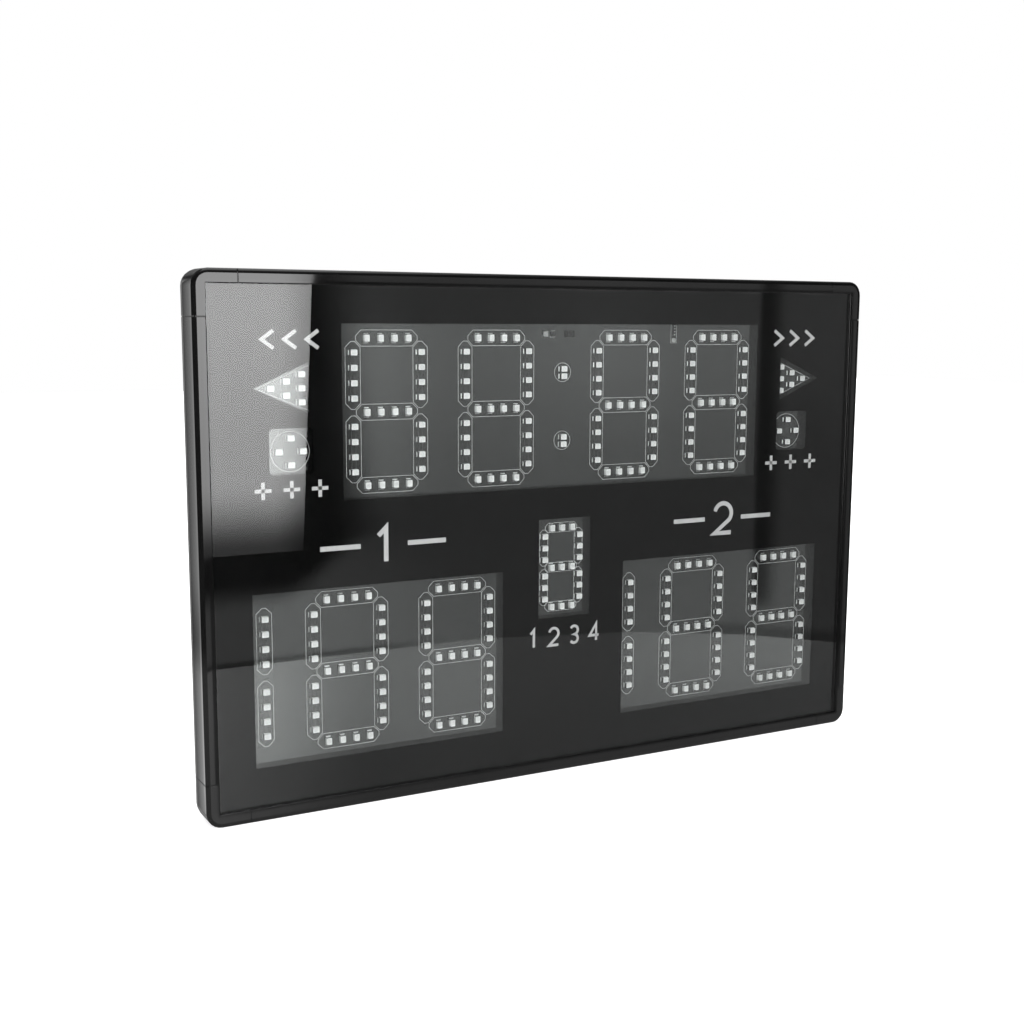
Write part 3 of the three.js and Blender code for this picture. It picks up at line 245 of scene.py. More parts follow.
# Meshes: a piece is gathered from simple closed shapes in the plane of the face.
class Shapes:
    """Closed shapes gathered into one mesh. Depths grow towards the rear."""

    def __init__(self):
        self.points, self.faces, self.looks = [], [], []

    def add(self, points, faces, look=0):
        base = len(self.points)
        self.points.extend(points)
        self.faces.extend([tuple(base + index for index in face) for face in faces])
        self.looks.extend([look] * len(faces))

    def layers(self, outlines, look=0, caps=(True, True)):
        """Joins outlines of equal count, each a list of (x, y, z), from front to back."""
        count = len(outlines[0])
        faces = []
        if caps[0]:
            faces.append(tuple(range(count)))
        if caps[1]:
            faces.append(tuple(reversed(range((len(outlines) - 1) * count, len(outlines) * count))))
        for row in range(len(outlines) - 1):
            for index in range(count):
                after = (index + 1) % count
                a, b = row * count + index, row * count + after
                faces.append((b, a, a + count, b + count))
        self.add([point for outline in outlines for point in outline], faces, look)

    def slab(self, outline, front, rear):
        """A flat shape from one depth to another, anticlockwise as seen from the front."""
        self.layers([at_depth(outline, y) for y in (front, rear)])

    def tube(self, rings, closed=True):
        """Joins rings of equal count, the last one to the first, round a closed or an open line."""
        count = len(rings[0])
        faces = []
        for index in range(count if closed else count - 1):
            after = (index + 1) % count
            for ring in range(len(rings)):
                a, b = ring * count, ((ring + 1) % len(rings)) * count
                faces.append((a + index, b + index, b + after, a + after))
        if not closed:
            faces.append(tuple(ring * count for ring in reversed(range(len(rings)))))
            faces.append(tuple(ring * count + count - 1 for ring in range(len(rings))))
        self.add([point for ring in rings for point in ring], faces)

    def band(self, outline, width, front, rear, closed=True):
        """A line of even width along an outline."""
        left, right = offsets(outline, width / 2, closed)
        sides = ((left, front), (right, front), (right, rear), (left, rear))
        self.tube([at_depth(side, y) for side, y in sides], closed)

    def piece(self, name, looks, body="scoreboard", smooth=None):
        mesh = bpy.data.meshes.new(name)
        mesh.from_pydata([tuple(point) for point in self.points], [], self.faces)
        mesh.polygons.foreach_set("material_index", self.looks)
        for look in looks:
            mesh.materials.append(look)
        tidy = bmesh.new()
        tidy.from_mesh(mesh)
        bmesh.ops.recalc_face_normals(tidy, faces=tidy.faces)
        tidy.to_mesh(mesh)
        tidy.free()
        piece = bpy.data.objects.new(name, mesh)
        bpy.context.collection.objects.link(piece)
        if smooth is not None:
            mesh.shade_smooth()
            mesh.set_sharp_from_angle(angle=math.radians(smooth))
        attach(piece, body)
        return piece


def at_depth(outline, y):
    return [(x, y, z) for x, z in outline]


# A mitre grows no longer than the line's half width over this.
LEAST_MITRE = 0.35


def offsets(outline, half, closed):
    """The outline moved to its left and to its right by a distance, with mitred corners."""
    count = len(outline)
    left, right = [], []
    for index, (x, z) in enumerate(outline):
        ways = []
        if closed or index:
            before = outline[index - 1]
            ways.append(Vector((x - before[0], z - before[1])).normalized())
        if closed or index < count - 1:
            after = outline[(index + 1) % count]
            ways.append(Vector((after[0] - x, after[1] - z)).normalized())
        normals = [Vector((-way.y, way.x)) for way in ways]
        mean = sum(normals, Vector((0, 0))).normalized()
        reach = half / max(mean.dot(normals[0]), LEAST_MITRE)
        left.append((x + mean.x * reach, z + mean.y * reach))
        right.append((x - mean.x * reach, z - mean.y * reach))
    return left, right


def arc(x, z, radius, start, end, steps):
    """Points on an arc, with angles in degrees, anticlockwise from +X."""
    turns = [math.radians(start + (end - start) * step / steps) for step in range(steps + 1)]
    return [(x + radius * math.cos(turn), z + radius * math.sin(turn)) for turn in turns]


def circle(x, z, radius, steps=40):
    return arc(x, z, radius, 0, 360, steps)[:-1]


def rectangle(x, z, width, height):
    a, b = width / 2, height / 2
    return [(x - a, z - b), (x + a, z - b), (x + a, z + b), (x - a, z + b)]


def face_point(x, z):
    """A place on the face in millimetres from its middle, as X and Z in metres."""
    return (x * MM, FACE_MIDDLE + z * MM)


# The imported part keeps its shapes. Its hard edges are eased and shaded, and each node gets a finish.
EDGE_EASE = 0.22 * MM
EASED_ANGLE = 33.0
WELD_REACH = 0.002 * MM
FLAT_ANGLE = 0.5
NORMAL_WEIGHT = 80


def dress(names, look, ease=EDGE_EASE, steps=2):
    for name in names:
        node = bpy.data.objects[name]
        mesh = node.data
        for attribute in ("custom_normal", "sharp_edge", "sharp_face"):
            if attribute in mesh.attributes:
                mesh.attributes.remove(mesh.attributes[attribute])
        mesh.shade_smooth()
        mesh.materials.clear()
        mesh.materials.append(look)
        weld = node.modifiers.new("weld", "WELD")
        weld.merge_threshold = WELD_REACH
        flat = node.modifiers.new("flat faces", "DECIMATE")
        flat.decimate_type = "DISSOLVE"
        flat.angle_limit = math.radians(FLAT_ANGLE)
        if ease:
            bevel = node.modifiers.new("eased edges", "BEVEL")
            bevel.width = ease
            bevel.segments = steps
            bevel.limit_method = "ANGLE"
            bevel.angle_limit = math.radians(EASED_ANGLE)
            bevel.harden_normals = False
        normals = node.modifiers.new("even shading", "WEIGHTED_NORMAL")
        normals.keep_sharp = True
        normals.weight = NORMAL_WEIGHT


FRAME_NODES = [
    "frame_top", "frame_bottom", "frame_left", "frame_right",
    "corner_bottom_left", "corner_bottom_right", "corner_top_right", "corner_top_left",
]


def dress_part():
    gloss = gloss_plastic()
    cover = grained_plastic("grained_cover", 0.020, 0.030)
    prop = grained_plastic("grained_prop", 0.017, 0.026, 2200)
    rubber = grained_plastic("rubber_pad", 0.012, 0.020, 1500, 0.05 * MM, (0.7, 0.85))
    chip = plain_look("chip_resin", 0.018, 0.030, (0.35, 0.5))
    steel = plain_look("zinc_steel", 0.42, 0.55, (0.22, 0.36), 300, 2400, 0.2, 1.0)
    silver = plain_look("can_silver", 0.55, 0.65, (0.2, 0.3), 400, 3000, 0.1, 1.0)
    dress(FRAME_NODES, gloss, 0.35 * MM, 3)
    dress(["power_rocker"], gloss, 0.3 * MM, 3)
    dress(["front_sheet"], clear_acrylic(), 0.15 * MM)
    ink = Look("black_print")
    ink.vary((0.0030, 0.0042), 40, (0.5, 0.65), 200)
    ink.set("Specular IOR Level", 0.03)
    dress(["front_print"], ink.material, 0)
    board = Look("black_solder_mask")
    board.vary((0.0085, 0.0115), 35, (0.035, 0.045), 90)
    board.set("IOR", 2.05)
    dress(["led_board"], board.material, 0)
    dress(["rear_cover"], cover, 0.2 * MM)
    dress(["prop_flap"], prop, 0.3 * MM)
    dress(["prop_pad"], rubber, 0.3 * MM)
    chips = ["microcontroller", "led_driver_1", "led_driver_2", "led_driver_3", "led_driver_4"]
    dress(chips + ["power_inductor", "buzzer", "switch_housing", "power_inlet"], chip, 0.12 * MM)
    dress(["infrared_receiver", "pull_up_resistor"], chip, 0.08 * MM)
    dress(["filter_capacitor"], plain_look("ceramic", 0.3, 0.36, (0.35, 0.5)), 0.1 * MM)
    dress(["reservoir_capacitor"], silver, 0.3 * MM)
    dress(["battery_pack"], plain_look("battery_sleeve", (0.02, 0.06, 0.14), (0.03, 0.08, 0.18), (0.3, 0.4)))
    dress(["battery_socket"], plain_look("nylon_white", 0.62, 0.7, (0.4, 0.5)), 0.15 * MM)
    dress(["battery_lead"], plain_look("wire_red", (0.25, 0.01, 0.01), (0.32, 0.02, 0.02), (0.35, 0.5)), 0)
    dress(["prop_pin"] + [f"cover_screw_{index}" for index in range(1, 9)], steel, 0.12 * MM)


# Light-emitting diodes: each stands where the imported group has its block, read from the block's front.
TOUCH = 0.01 * MM
LED_LONG = 3.5 * MM
LED_SHORT = 2.8 * MM
LED_TOP_SHRINK = 0.12 * MM
LED_CORNER = 0.22 * MM
LED_RISE = 1.9 * MM
LED_LENS_RADIUS = 1.2 * MM
LED_LENS_FLOOR_RADIUS = 1.02 * MM
LED_LENS_DEPTH = 0.12 * MM
LED_NOTCH = 0.6 * MM
# The leads reach over nearly all of each end face, so their dark tone fills it as painted shade for the gap
# under the diode's body.
LEG_WIDTH = 2.76 * MM
LEG_REACH = 0.14 * MM
LEG_RISE = 1.82 * MM
LEG_FOOT = 0.18 * MM
PAD_LENGTH = 1.35 * MM
PAD_WIDTH = 2.5 * MM
PAD_SPAN = 4.75 * MM
SILK_RISE = 0.03 * MM
PAD_RISE = 0.12 * MM

# Shares of the diode's rise and lens depth, the swell of its round corners, and the form of its solder
LED_WAIST = 0.55
LENS_DOME = 0.35
CORNER_BULGE = 0.29
CORNER_STEPS = (0.25, 0.5, 0.75)
SOLDER_SLOPE = 0.25 * MM
SOLDER_TOE = 0.6
SOLDER_CROWN = 0.28 * MM
SOLDER_EDGE = 0.05 * MM


def touching(one, other):
    return all(a[axis] <= b[axis + 2] + TOUCH for a, b in ((one, other), (other, one)) for axis in (0, 1))


def merged_boxes(boxes):
    """Joins flat boxes (x0, z0, x1, z1) that touch each other."""
    done = []
    for box in boxes:
        near = [other for other in done if touching(box, other)]
        while near:
            done = [other for other in done if other not in near]
            ends = zip((min, min, max, max), zip(box, *near))
            box = tuple(pick(values) for pick, values in ends)
            near = [other for other in done if touching(box, other)]
        done.append(box)
    return done


def led_places(name):
    """Middle and direction of a group's diodes: (x, z, upright). Upright ones are long along Z."""
    mesh = bpy.data.objects[name].data
    front = min(vertex.co.y for vertex in mesh.vertices)
    boxes = []
    for polygon in mesh.polygons:
        corners = [mesh.vertices[index].co for index in polygon.vertices]
        if all(abs(corner.y - front) < TOUCH for corner in corners):
            xs, zs = [corner.x for corner in corners], [corner.z for corner in corners]
            boxes.append((min(xs), min(zs), max(xs), max(zs)))
    return sorted(((x0 + x1) / 2, (z0 + z1) / 2, z1 - z0 > x1 - x0)
                  for x0, z0, x1, z1 in merged_boxes(boxes))


def led_outline(width, height, corner, notch):
    """A rectangle with small round corners and one cut corner, as 24 points anticlockwise."""
    a, b = width / 2, height / 2
    corners = [(a, -b, corner), (a, b, corner), (-a, b, notch), (-a, -b, corner)]
    points = []
    for index, (x, z, cut) in enumerate(corners):
        before, after = corners[index - 1], corners[(index + 1) % 4]
        here, next_corner = Vector((x, z)), Vector((after[0], after[1]))
        start = here + Vector((before[0] - x, before[1] - z)).normalized() * cut
        end = here + Vector((after[0] - x, after[1] - z)).normalized() * cut
        bulge = CORNER_BULGE if cut == corner else 0.0
        middle = (start + end) / 2 + (here - (start + end) / 2) * bulge
        points.extend([start, middle, end])
        leave = next_corner + (here - next_corner).normalized() * after[2]
        points.extend([end.lerp(leave, share) for share in CORNER_STEPS])
    return points


def add_led(shapes, x, z, upright):
    """One diode with its leads and solder pads. Looks: 0 body, 1 lens, 2 lead, 3 solder."""
    def place(u, y, v):
        return (x - v, y, z + u) if upright else (x + u, y, z + v)

    top = BOARD_Y - LED_RISE
    shrink = 2 * LED_TOP_SHRINK
    shrunk = led_outline(LED_LONG - shrink, LED_SHORT - shrink, LED_CORNER, LED_NOTCH)
    full = led_outline(LED_LONG, LED_SHORT, LED_CORNER, LED_CORNER)
    angles = [math.atan2(point.y, point.x) for point in shrunk]
    rim = [Vector((math.cos(angle), math.sin(angle))) * LED_LENS_RADIUS for angle in angles]
    floor = [Vector((math.cos(angle), math.sin(angle))) * LED_LENS_FLOOR_RADIUS for angle in angles]
    levels = ((floor, top + LED_LENS_DEPTH), (rim, top), (shrunk, top),
              (full, top + LED_RISE * LED_WAIST), (full, BOARD_Y - PAD_RISE))
    rings = [[place(point.x, y, point.y) for point in outline] for outline, y in levels]
    shapes.layers(rings, caps=(False, True))
    count = len(shrunk)
    dome = [place(0, top + LED_LENS_DEPTH * LENS_DOME, 0)] + rings[0]
    shapes.add(dome, [(0, 1 + index, 1 + (index + 1) % count) for index in range(count)], 1)
    for side in (-1, 1):
        inner, outer = LED_LONG / 2 - LEG_FOOT, LED_LONG / 2 + LEG_REACH
        profile = [(inner, PAD_RISE), (outer, PAD_RISE), (outer, LEG_RISE), (inner, LEG_RISE)]
        shapes.layers([[place(side * u, BOARD_Y - rise, across) for u, rise in profile]
                       for across in (-LEG_WIDTH / 2, LEG_WIDTH / 2)], 2)
        near, far, half = PAD_SPAN / 2 - PAD_LENGTH, PAD_SPAN / 2, PAD_WIDTH / 2
        base = [(near, -half), (far, -half), (far, half), (near, half)]
        toe, heel, ease = outer + SOLDER_SLOPE * SOLDER_TOE, near + SOLDER_SLOPE, half - SOLDER_SLOPE
        crown = [(heel, -ease), (toe, -ease), (toe, ease), (heel, ease)]
        levels = ((crown, SOLDER_CROWN), (base, SOLDER_EDGE), (base, 0))
        shapes.layers([[place(side * u, BOARD_Y - rise, v) for u, v in outline]
                       for outline, rise in levels], 3)


def led_group(name, looks):
    shapes = Shapes()
    for x, z, upright in led_places(name):
        add_led(shapes, x, z, upright)
    piece = shapes.piece(f"{name}_diodes", looks, smooth=35)
    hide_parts(name)


LARGE_DIGITS = [
    "clock_minutes_tens", "clock_minutes_units", "clock_seconds_tens", "clock_seconds_units",
    "left_score_hundreds", "left_score_tens", "left_score_units",
    "right_score_hundreds", "right_score_tens", "right_score_units",
]
OTHER_GROUPS = [
    "clock_colon", "period_digit", "left_possession_arrow", "right_possession_arrow",
    "left_bonus_mark", "right_bonus_mark",
]


# Diodes in one line differ less than this many touches across it, and a longer step starts a new segment.
LINE_TOUCHES = 20
LONG_STEP = 1.3


def runs(places):
    """Splits a group's diodes into its straight segments: lists of (x, z, upright)."""
    found = []
    for upright in (False, True):
        along = 0 if upright else 1
        lines = {}
        for place in places:
            if place[2] == upright:
                lines.setdefault(round(place[1 - along] / TOUCH / LINE_TOUCHES), []).append(place)
        for line in lines.values():
            line.sort(key=lambda place: place[along])
            steps = [b[along] - a[along] for a, b in zip(line, line[1:])]
            run = [line[0]]
            for place, step in zip(line[1:], steps):
                if step > LONG_STEP * min(steps):
                    found.append(run)
                    run = []
                run.append(place)
            found.append(run)
    return found


# White outlines printed on the board round each segment, given by its length, width and tip
SILK_WIDTH = 0.2 * MM
SEGMENT = (31.0 * MM, 7.4 * MM, 2.0 * MM)
SMALL_SEGMENT = (18.4 * MM, 4.8 * MM, 1.3 * MM)


def hexagon(x, z, upright_segment, length, width, tip):
    """A segment's outline with two blunt tips."""
    a, b, c = length / 2, width / 2, tip / 2
    slope = b - c
    points = [(-a, -c), (-a + slope, -b), (a - slope, -b), (a, -c),
              (a, c), (a - slope, b), (-a + slope, b), (-a, c)]
    if upright_segment:
        return [(x - v, z + u) for u, v in points]
    return [(x + u, z + v) for u, v in points]


def silk_piece(name, outlines, silk):
    shapes = Shapes()
    for outline, closed in outlines:
        shapes.band(outline, SILK_WIDTH, BOARD_Y - SILK_RISE, BOARD_Y + SILK_RISE, closed=closed)
    shapes.piece(name, [silk])


def segment_outlines(name):
    sizes = SMALL_SEGMENT if name == "period_digit" else SEGMENT
    outlines = []
    for run in runs(led_places(name)):
        x = sum(place[0] for place in run) / len(run)
        z = sum(place[1] for place in run) / len(run)
        outlines.append((hexagon(x, z, not run[0][2], *sizes), True))
    return outlines


COLON_RING_RADIUS = 4.65 * MM
COLON_RINGS = [face_point(0, 77.9), face_point(0, 44.1)]
BONUS_RING_RADIUS = 9.2 * MM
BONUS_RING_SHIFT = 142.65
BONUS_RING_RISE = 44.2
ARROW_LINE = [(133.0, 62.3), (158.0, 72.6), (133.0, 82.9)]


def printed_outlines(silk):
    for name in LARGE_DIGITS + ["period_digit"]:
        silk_piece(f"{name}_outline", segment_outlines(name), silk)
    silk_piece("clock_colon_rings", [(circle(x, z, COLON_RING_RADIUS), True) for x, z in COLON_RINGS], silk)
    for label, side in (("left", -1), ("right", 1)):
        x, z = face_point(side * BONUS_RING_SHIFT, BONUS_RING_RISE)
        silk_piece(f"{label}_bonus_ring", [(circle(x, z, BONUS_RING_RADIUS, 64), True)], silk)
        arrow = [face_point(side * x, z) for x, z in ARROW_LINE]
        silk_piece(f"{label}_arrow_outline", [(arrow, True)], silk)


# Copper tracks under the solder mask, beside the diodes of the upright segments
TRACK_WIDTH = 0.4 * MM
TRACK_SHIFT = 1.05 * MM
TRACK_RISE = 0.02 * MM


def tracks(mask):
    for name in LARGE_DIGITS:
        shapes = Shapes()
        for run in runs(led_places(name)):
            if run[0][2]:
                continue
            for side in (-1, 1):
                x = run[0][0] + side * TRACK_SHIFT
                ends = [(x, run[0][1]), (x, run[-1][1])]
                shapes.band(ends, TRACK_WIDTH, BOARD_Y - TRACK_RISE, BOARD_Y + SILK_RISE, closed=False)
        shapes.piece(f"{name}_tracks", [mask])


# Plain marks printed behind the sheet: numbers and simple signs, drawn as strokes
MARK_FRONT = PRINT_Y - 0.03 * MM
MARK_REAR = PRINT_Y + 0.03 * MM

# Widths of the strokes, and the rows of signs: middle, height on the face, step, and each sign's box
TEAM_STROKE = 2.3
CAPTION_STROKE = 1.7
PERIOD_STROKE = 1.35
TEAM_PLACE = (98.5, -1)
TEAM_NUMBER = (11, 16)
TEAM_BAR = (20, 0)
TEAM_STEP = 22.0
POSSESSION_ROW = (143, 94.5, 10.5, 5.5, 7.9)
BONUS_ROW = (143.5, 27.3, 13.5, 7.9, 7.9)
PERIOD_ROW = (0, -55, 12, 5.4, 8.8)


def strokes_of(sign, width, height):
    """The strokes of a plain sign in a box about its middle, as lists of (x, z)."""
    w, h = width / 2, height / 2
    r = min(w, h / 2)
    return {
        "1": [[(-w * 0.55, h * 0.55), (w * 0.15, h), (w * 0.15, -h)]],
        "2": [arc(0, h - w, w, 165, -40, 14) + [(-w, -h), (w, -h)]],
        "3": [arc(0, h - r, r, 150, -90, 12) + arc(0, -h + r, r, 90, -150, 12)[1:]],
        "4": [[(w * 0.45, -h), (w * 0.45, h), (-w, -h * 0.38), (w, -h * 0.38)]],
        "bar": [[(-w, 0), (w, 0)]],
        "plus": [[(-w, 0), (w, 0)], [(0, -w), (0, w)]],
        "left": [[(w, h), (-w, 0), (w, -h)]],
        "right": [[(-w, h), (w, 0), (-w, -h)]],
    }[sign]


def mark_piece(name, signs, stroke, ink):
    """Signs are (sign, x, z, width, height) in millimetres on the face."""
    shapes = Shapes()
    for sign, x, z, width, height in signs:
        for line in strokes_of(sign, width, height):
            outline = [face_point(x + u, z + v) for u, v in line]
            shapes.band(outline, stroke * MM, MARK_FRONT, MARK_REAR, closed=False)
    shapes.piece(name, [ink])


def sign_row(signs, side, x, z, step, width, height):
    """Signs side by side, each as (sign, x, z, width, height)."""
    first = side * x - step * (len(signs) - 1) / 2
    return [(sign, first + step * index, z, width, height) for index, sign in enumerate(signs)]


def printed_marks(ink):
    for label, side, number in (("left", -1, "1"), ("right", 1, "2")):
        x, z = side * TEAM_PLACE[0], TEAM_PLACE[1]
        signs = [("bar", x - TEAM_STEP, z, *TEAM_BAR), (number, x, z, *TEAM_NUMBER),
                 ("bar", x + TEAM_STEP, z, *TEAM_BAR)]
        mark_piece(f"{label}_team_mark", signs, TEAM_STROKE, ink)
        signs = sign_row([label] * 3, side, *POSSESSION_ROW)
        mark_piece(f"{label}_possession_caption", signs, CAPTION_STROKE, ink)
        mark_piece(f"{label}_bonus_caption", sign_row(["plus"] * 3, side, *BONUS_ROW), CAPTION_STROKE, ink)
    mark_piece("period_numbers", sign_row("1234", 1, *PERIOD_ROW), PERIOD_STROKE, ink)


# Surroundings: a white world, a pale floor, glowing cards that the glossy black reflects, and one lamp
def reflected(x, z, distance):
    """Where the main camera's ray, mirrored in the sheet at a place on the face, meets y = -distance."""
    eye = Vector((CAMERA_PLACE[0], 2 * SHEET_Y - CAMERA_PLACE[1], CAMERA_PLACE[2]))
    px, pz = face_point(x, z)
    way = Vector((px, SHEET_Y, pz)) - eye
    return eye + way * ((-distance - eye.y) / way.y)


def stage_mesh(name, points, faces, material, glossy_only=False):
    mesh = bpy.data.meshes.new(name)
    mesh.from_pydata([tuple(point) for point in points], [], faces)
    mesh.materials.append(material)
    card = bpy.data.objects.new(name, mesh)
    bpy.context.collection.objects.link(card)
    card.visible_camera = card.visible_diffuse = card.visible_shadow = not glossy_only
    return card


def set_glow(card, levels):
    card.data.attributes.new("glow", "FLOAT", "POINT").data.foreach_set("value", levels)


def glow(name):
    """Light whose strength follows the card's own values."""
    material = bpy.data.materials.new(name)
    material.use_nodes = True
    tree = material.node_tree
    tree.nodes.clear()
    emission = tree.nodes.new("ShaderNodeEmission")
    level = tree.nodes.new("ShaderNodeAttribute")
    level.attribute_name = "glow"
    tree.links.new(level.outputs["Fac"], emission.inputs["Strength"])
    output = tree.nodes.new("ShaderNodeOutputMaterial")
    tree.links.new(emission.outputs[0], output.inputs["Surface"])
    return material


CARD_DISTANCE = 1.2
SOFTBOX_DISTANCE = 1.18
CARD_REACH = 215.0
CARD_TOP = 150.0
CARD_FOOT = -150.0


def ramp(value, start, end):
    """Rises smoothly from 0 at the start to 1 at the end."""
    share = min(max((value - start) / (end - start), 0.0), 1.0)
    return share * share * (3 - 2 * share)


def between(low, high, share):
    return low + (high - low) * share


# The strengths are fitted to the photograph. Each ramp starts and ends at a place on the face.
def softbox_edge(z):
    return -139.0 + 0.052 * z


def table_line(x):
    """Height on the face at which the table's mirror image begins."""
    return -51.5 - 0.065 * max(x + 48, 0.0) - 0.06 * max(x - 40, 0.0) - 0.045 * max(x - 112, 0.0)


def softbox_place(across, upward):
    z = between(-0.5, CARD_TOP, upward)
    return between(-CARD_REACH, softbox_edge(z), across), z


def softbox_strength(x, z):
    edge = softbox_edge(z) + 139.0 - 5.0
    fade = (0.42 + 0.35 * (1 - ramp(z, 5, 40))) * ramp(x - edge, -151, -129)
    hollow = 0.45 * math.exp(-((x + 133.0) / 5.0) ** 2 - ((z - 57.0) / 9.0) ** 2)
    return (0.32 + 3.6 * ramp(z, 1, 33) + 0.9 * ramp(z, 33, 112)) * (1 - fade) * (1 - hollow)


def wall_place(across, upward):
    x = between(-CARD_REACH, CARD_REACH, across)
    return x, between(table_line(x), CARD_TOP, upward)


def wall_strength(x, z):
    """A dim wall with a dark pocket under the softbox and a dark upright gap to the right."""
    start = -132.0 + 0.1 * (110.0 - z)
    upper = ramp(x, start - 3, start + 30)
    lower = ramp(-18.0 + 30.0 * ramp(x, -150, -98) - z, -5, 10)
    level = 0.2 + 0.075 * ramp(z, 20, 100) + 0.15 * (1 - ramp(x, -160, -40)) * (1 - ramp(z, -16, 10))
    level *= 1 + 0.22 * ramp(z, 30, 100) * math.exp(-((x - 22) / 38) ** 2)
    gap = 0.82 * ramp(x, 117.5, 121.5) * (1 - ramp(x, 125, 141)) * ramp(z, -60, -44)
    above = z - table_line(x)
    shade = (0.6 * ramp(-x, 60, 110) * (1 - ramp(above, 1.8, 3.2))
             + 0.45 * ramp(x, 60, 110) * (1 - ramp(above, 3, 9)) + 0.08 * (1 - ramp(above, 0, 5)))
    return level * max(upper, lower) * (1 - gap) * (1 - shade)


def table_place(across, upward):
    x = between(-CARD_REACH, CARD_REACH, across)
    return x, between(CARD_FOOT, table_line(x), upward)


def table_strength(x, z):
    sideways = 0.32 + 0.42 * (1 - ramp(x, -190, -100)) + 0.04 * ramp(x, 40, 180)
    return sideways * (1 + 0.16 * ramp(z, -112, -66))


def lip_share(x, z):
    """Rises from 0 on the sheet to 1 on the frame's lip."""
    return max(ramp(x, 180.0, 180.7), ramp(-x, 180.4, 181.0), ramp(abs(z), 117.9, 118.5))


def softbox_share(x, z):
    return 0.52


def wall_share(x, z):
    left = ramp(-x, 60, 105) * between(-0.12, 0.75, ramp(z, 0, 20))
    return 1.58 + left + 0.1 * ramp(-x, -70, 0) * ramp(z, 0, 40) - 0.12 * ramp(x, 50, 80) * ramp(z, 0, 40)


def table_share(x, z):
    return 1.54 + 0.12 * ramp(-x, 0, 50)


def grid_shares(columns, rows):
    """How far across and how far up each point of a grid lies, row by row."""
    return [(column / columns, row / rows) for row in range(rows + 1) for column in range(columns + 1)]


def grid_faces(columns, rows):
    starts = [row * (columns + 1) + column for row in range(rows) for column in range(columns)]
    return [(a, a + 1, a + columns + 2, a + columns + 1) for a in starts]


def light_card(name, place, strength, distance, columns, rows, through, lip):
    """Two glowing cards behind the camera, shaped where their mirror image falls on the face.

    The outer card is mirrored by the surfaces themselves, the inner one by what lies behind the sheet. The
    strength is shared between them at each place, and the outer one has its own share on the frame's lip.
    """
    points, levels, shares = [], [], []
    for across, upward in grid_shares(columns, rows):
        x, z = place(across, upward)
        points.append(reflected(x, z, distance))
        levels.append(strength(x, z))
        on_sheet = max(2 - through(x, z), 0.0)
        shares.append((between(on_sheet, lip, lip_share(x, z)), through(x, z)))
    faces = grid_faces(columns, rows)
    material = glow(f"{name}_glow")
    for inner in (False, True):
        card = stage_mesh(f"{name}_inner" if inner else f"{name}_outer", points, faces, material, True)
        card.visible_transmission = inner
        card.visible_glossy = not inner
        set_glow(card, [value * share[inner] for value, share in zip(levels, shares)])


# The frame's left side mirrors a card close beside it, which grows brighter towards the front.
SIDE_X = -HALF_WIDTH * MM
SIDE_CARD_X = -205.0 * MM
SIDE_CARD_GRID = (24, 40)
SIDE_CARD_DEPTHS = (-0.35, 1.12)
SIDE_CARD_REACH = 135


def side_strength(depth, z):
    """Glow by depth, 0 at the rear and 1 at the front."""
    low = ramp(-z, 45, 62)
    dip = 1 - 0.45 * ramp(-z, 6, 38) * (1 - ramp(-z, 43, 52))
    line = (0.15 + 0.45 * ramp(-z, 30, 48)) * ramp(depth, 0.92, 0.97)
    return between(0.2, 0.74, min(max(depth, 0.0), 1.0) ** 1.1) * between(1.0, 1.38, low) * dip + line


def side_card():
    eye = Vector((2 * SIDE_X - CAMERA_PLACE[0], CAMERA_PLACE[1], CAMERA_PLACE[2]))
    points, levels = [], []
    for across, upward in grid_shares(*SIDE_CARD_GRID):
        depth = between(*SIDE_CARD_DEPTHS, across)
        z = between(-SIDE_CARD_REACH, SIDE_CARD_REACH, upward)
        way = Vector((SIDE_X, between(-FACE_Y, FACE_Y, depth), FACE_MIDDLE + z * MM)) - eye
        points.append(eye + way * ((SIDE_CARD_X - eye.x) / way.x))
        levels.append(side_strength(depth, z))
    set_glow(stage_mesh("side_card", points, grid_faces(*SIDE_CARD_GRID), glow("side_glow"), True), levels)


# The world's strength follows the direction's X, Y and Z. The camera sees it white.
def make_world():
    world = bpy.data.worlds.new("surroundings")
    world.use_nodes = True
    tree = world.node_tree
    tree.nodes.clear()
    output = tree.nodes.new("ShaderNodeOutputWorld")
    place = tree.nodes.new("ShaderNodeTexCoord")
    split = tree.nodes.new("ShaderNodeSeparateXYZ")
    tree.links.new(place.outputs["Generated"], split.inputs[0])

    def ranged(axis, *ends):
        node = spread(tree, split.outputs[axis], *ends)
        node.interpolation_type = "SMOOTHSTEP"
        return node.outputs[0]

    def joined(operation, first, *others):
        for other in others:
            node = tree.nodes.new("ShaderNodeMath")
            node.operation = operation
            tree.links.new(first, node.inputs[0])
            tree.links.new(other, node.inputs[1])
            first = node.outputs[0]
        return first

    behind = ranged("Y", -0.05, 0.3, 0.0, 1.0)
    rear = joined("MULTIPLY", behind, ranged("X", 0.05, -0.3, 0.2, 0.95), ranged("X", -0.6, -0.8, 1.0, 0.0))
    above = joined("MULTIPLY", ranged("Z", 0.42, 0.8, 0.06, 2.6), ranged("X", 0.33, 0.5, 1.0, 0.2))
    high = joined("MULTIPLY", behind, ranged("Z", 0.2, 0.5, 0.0, 1.6))
    # The upper part is dark on the left, where the top left corner mirrors it.
    corner = joined("MAXIMUM", ranged("Z", 0.1, 0.25, 1.0, 0.0), ranged("X", -0.12, 0.04, 0.12, 1.0))
    lit = joined("MULTIPLY", joined("MAXIMUM", rear, above, high), corner)
    level = joined("MAXIMUM", lit, ranged("Z", -0.22, -0.25, 0.0, 0.45))
    around = tree.nodes.new("ShaderNodeBackground")
    tree.links.new(level, around.inputs["Strength"])
    seen = tree.nodes.new("ShaderNodeBackground")
    for node in (around, seen):
        node.inputs["Color"].default_value = (1, 1, 1, 1)
    show(tree, output, around, "Is Camera Ray", seen)
    bpy.context.scene.world = world


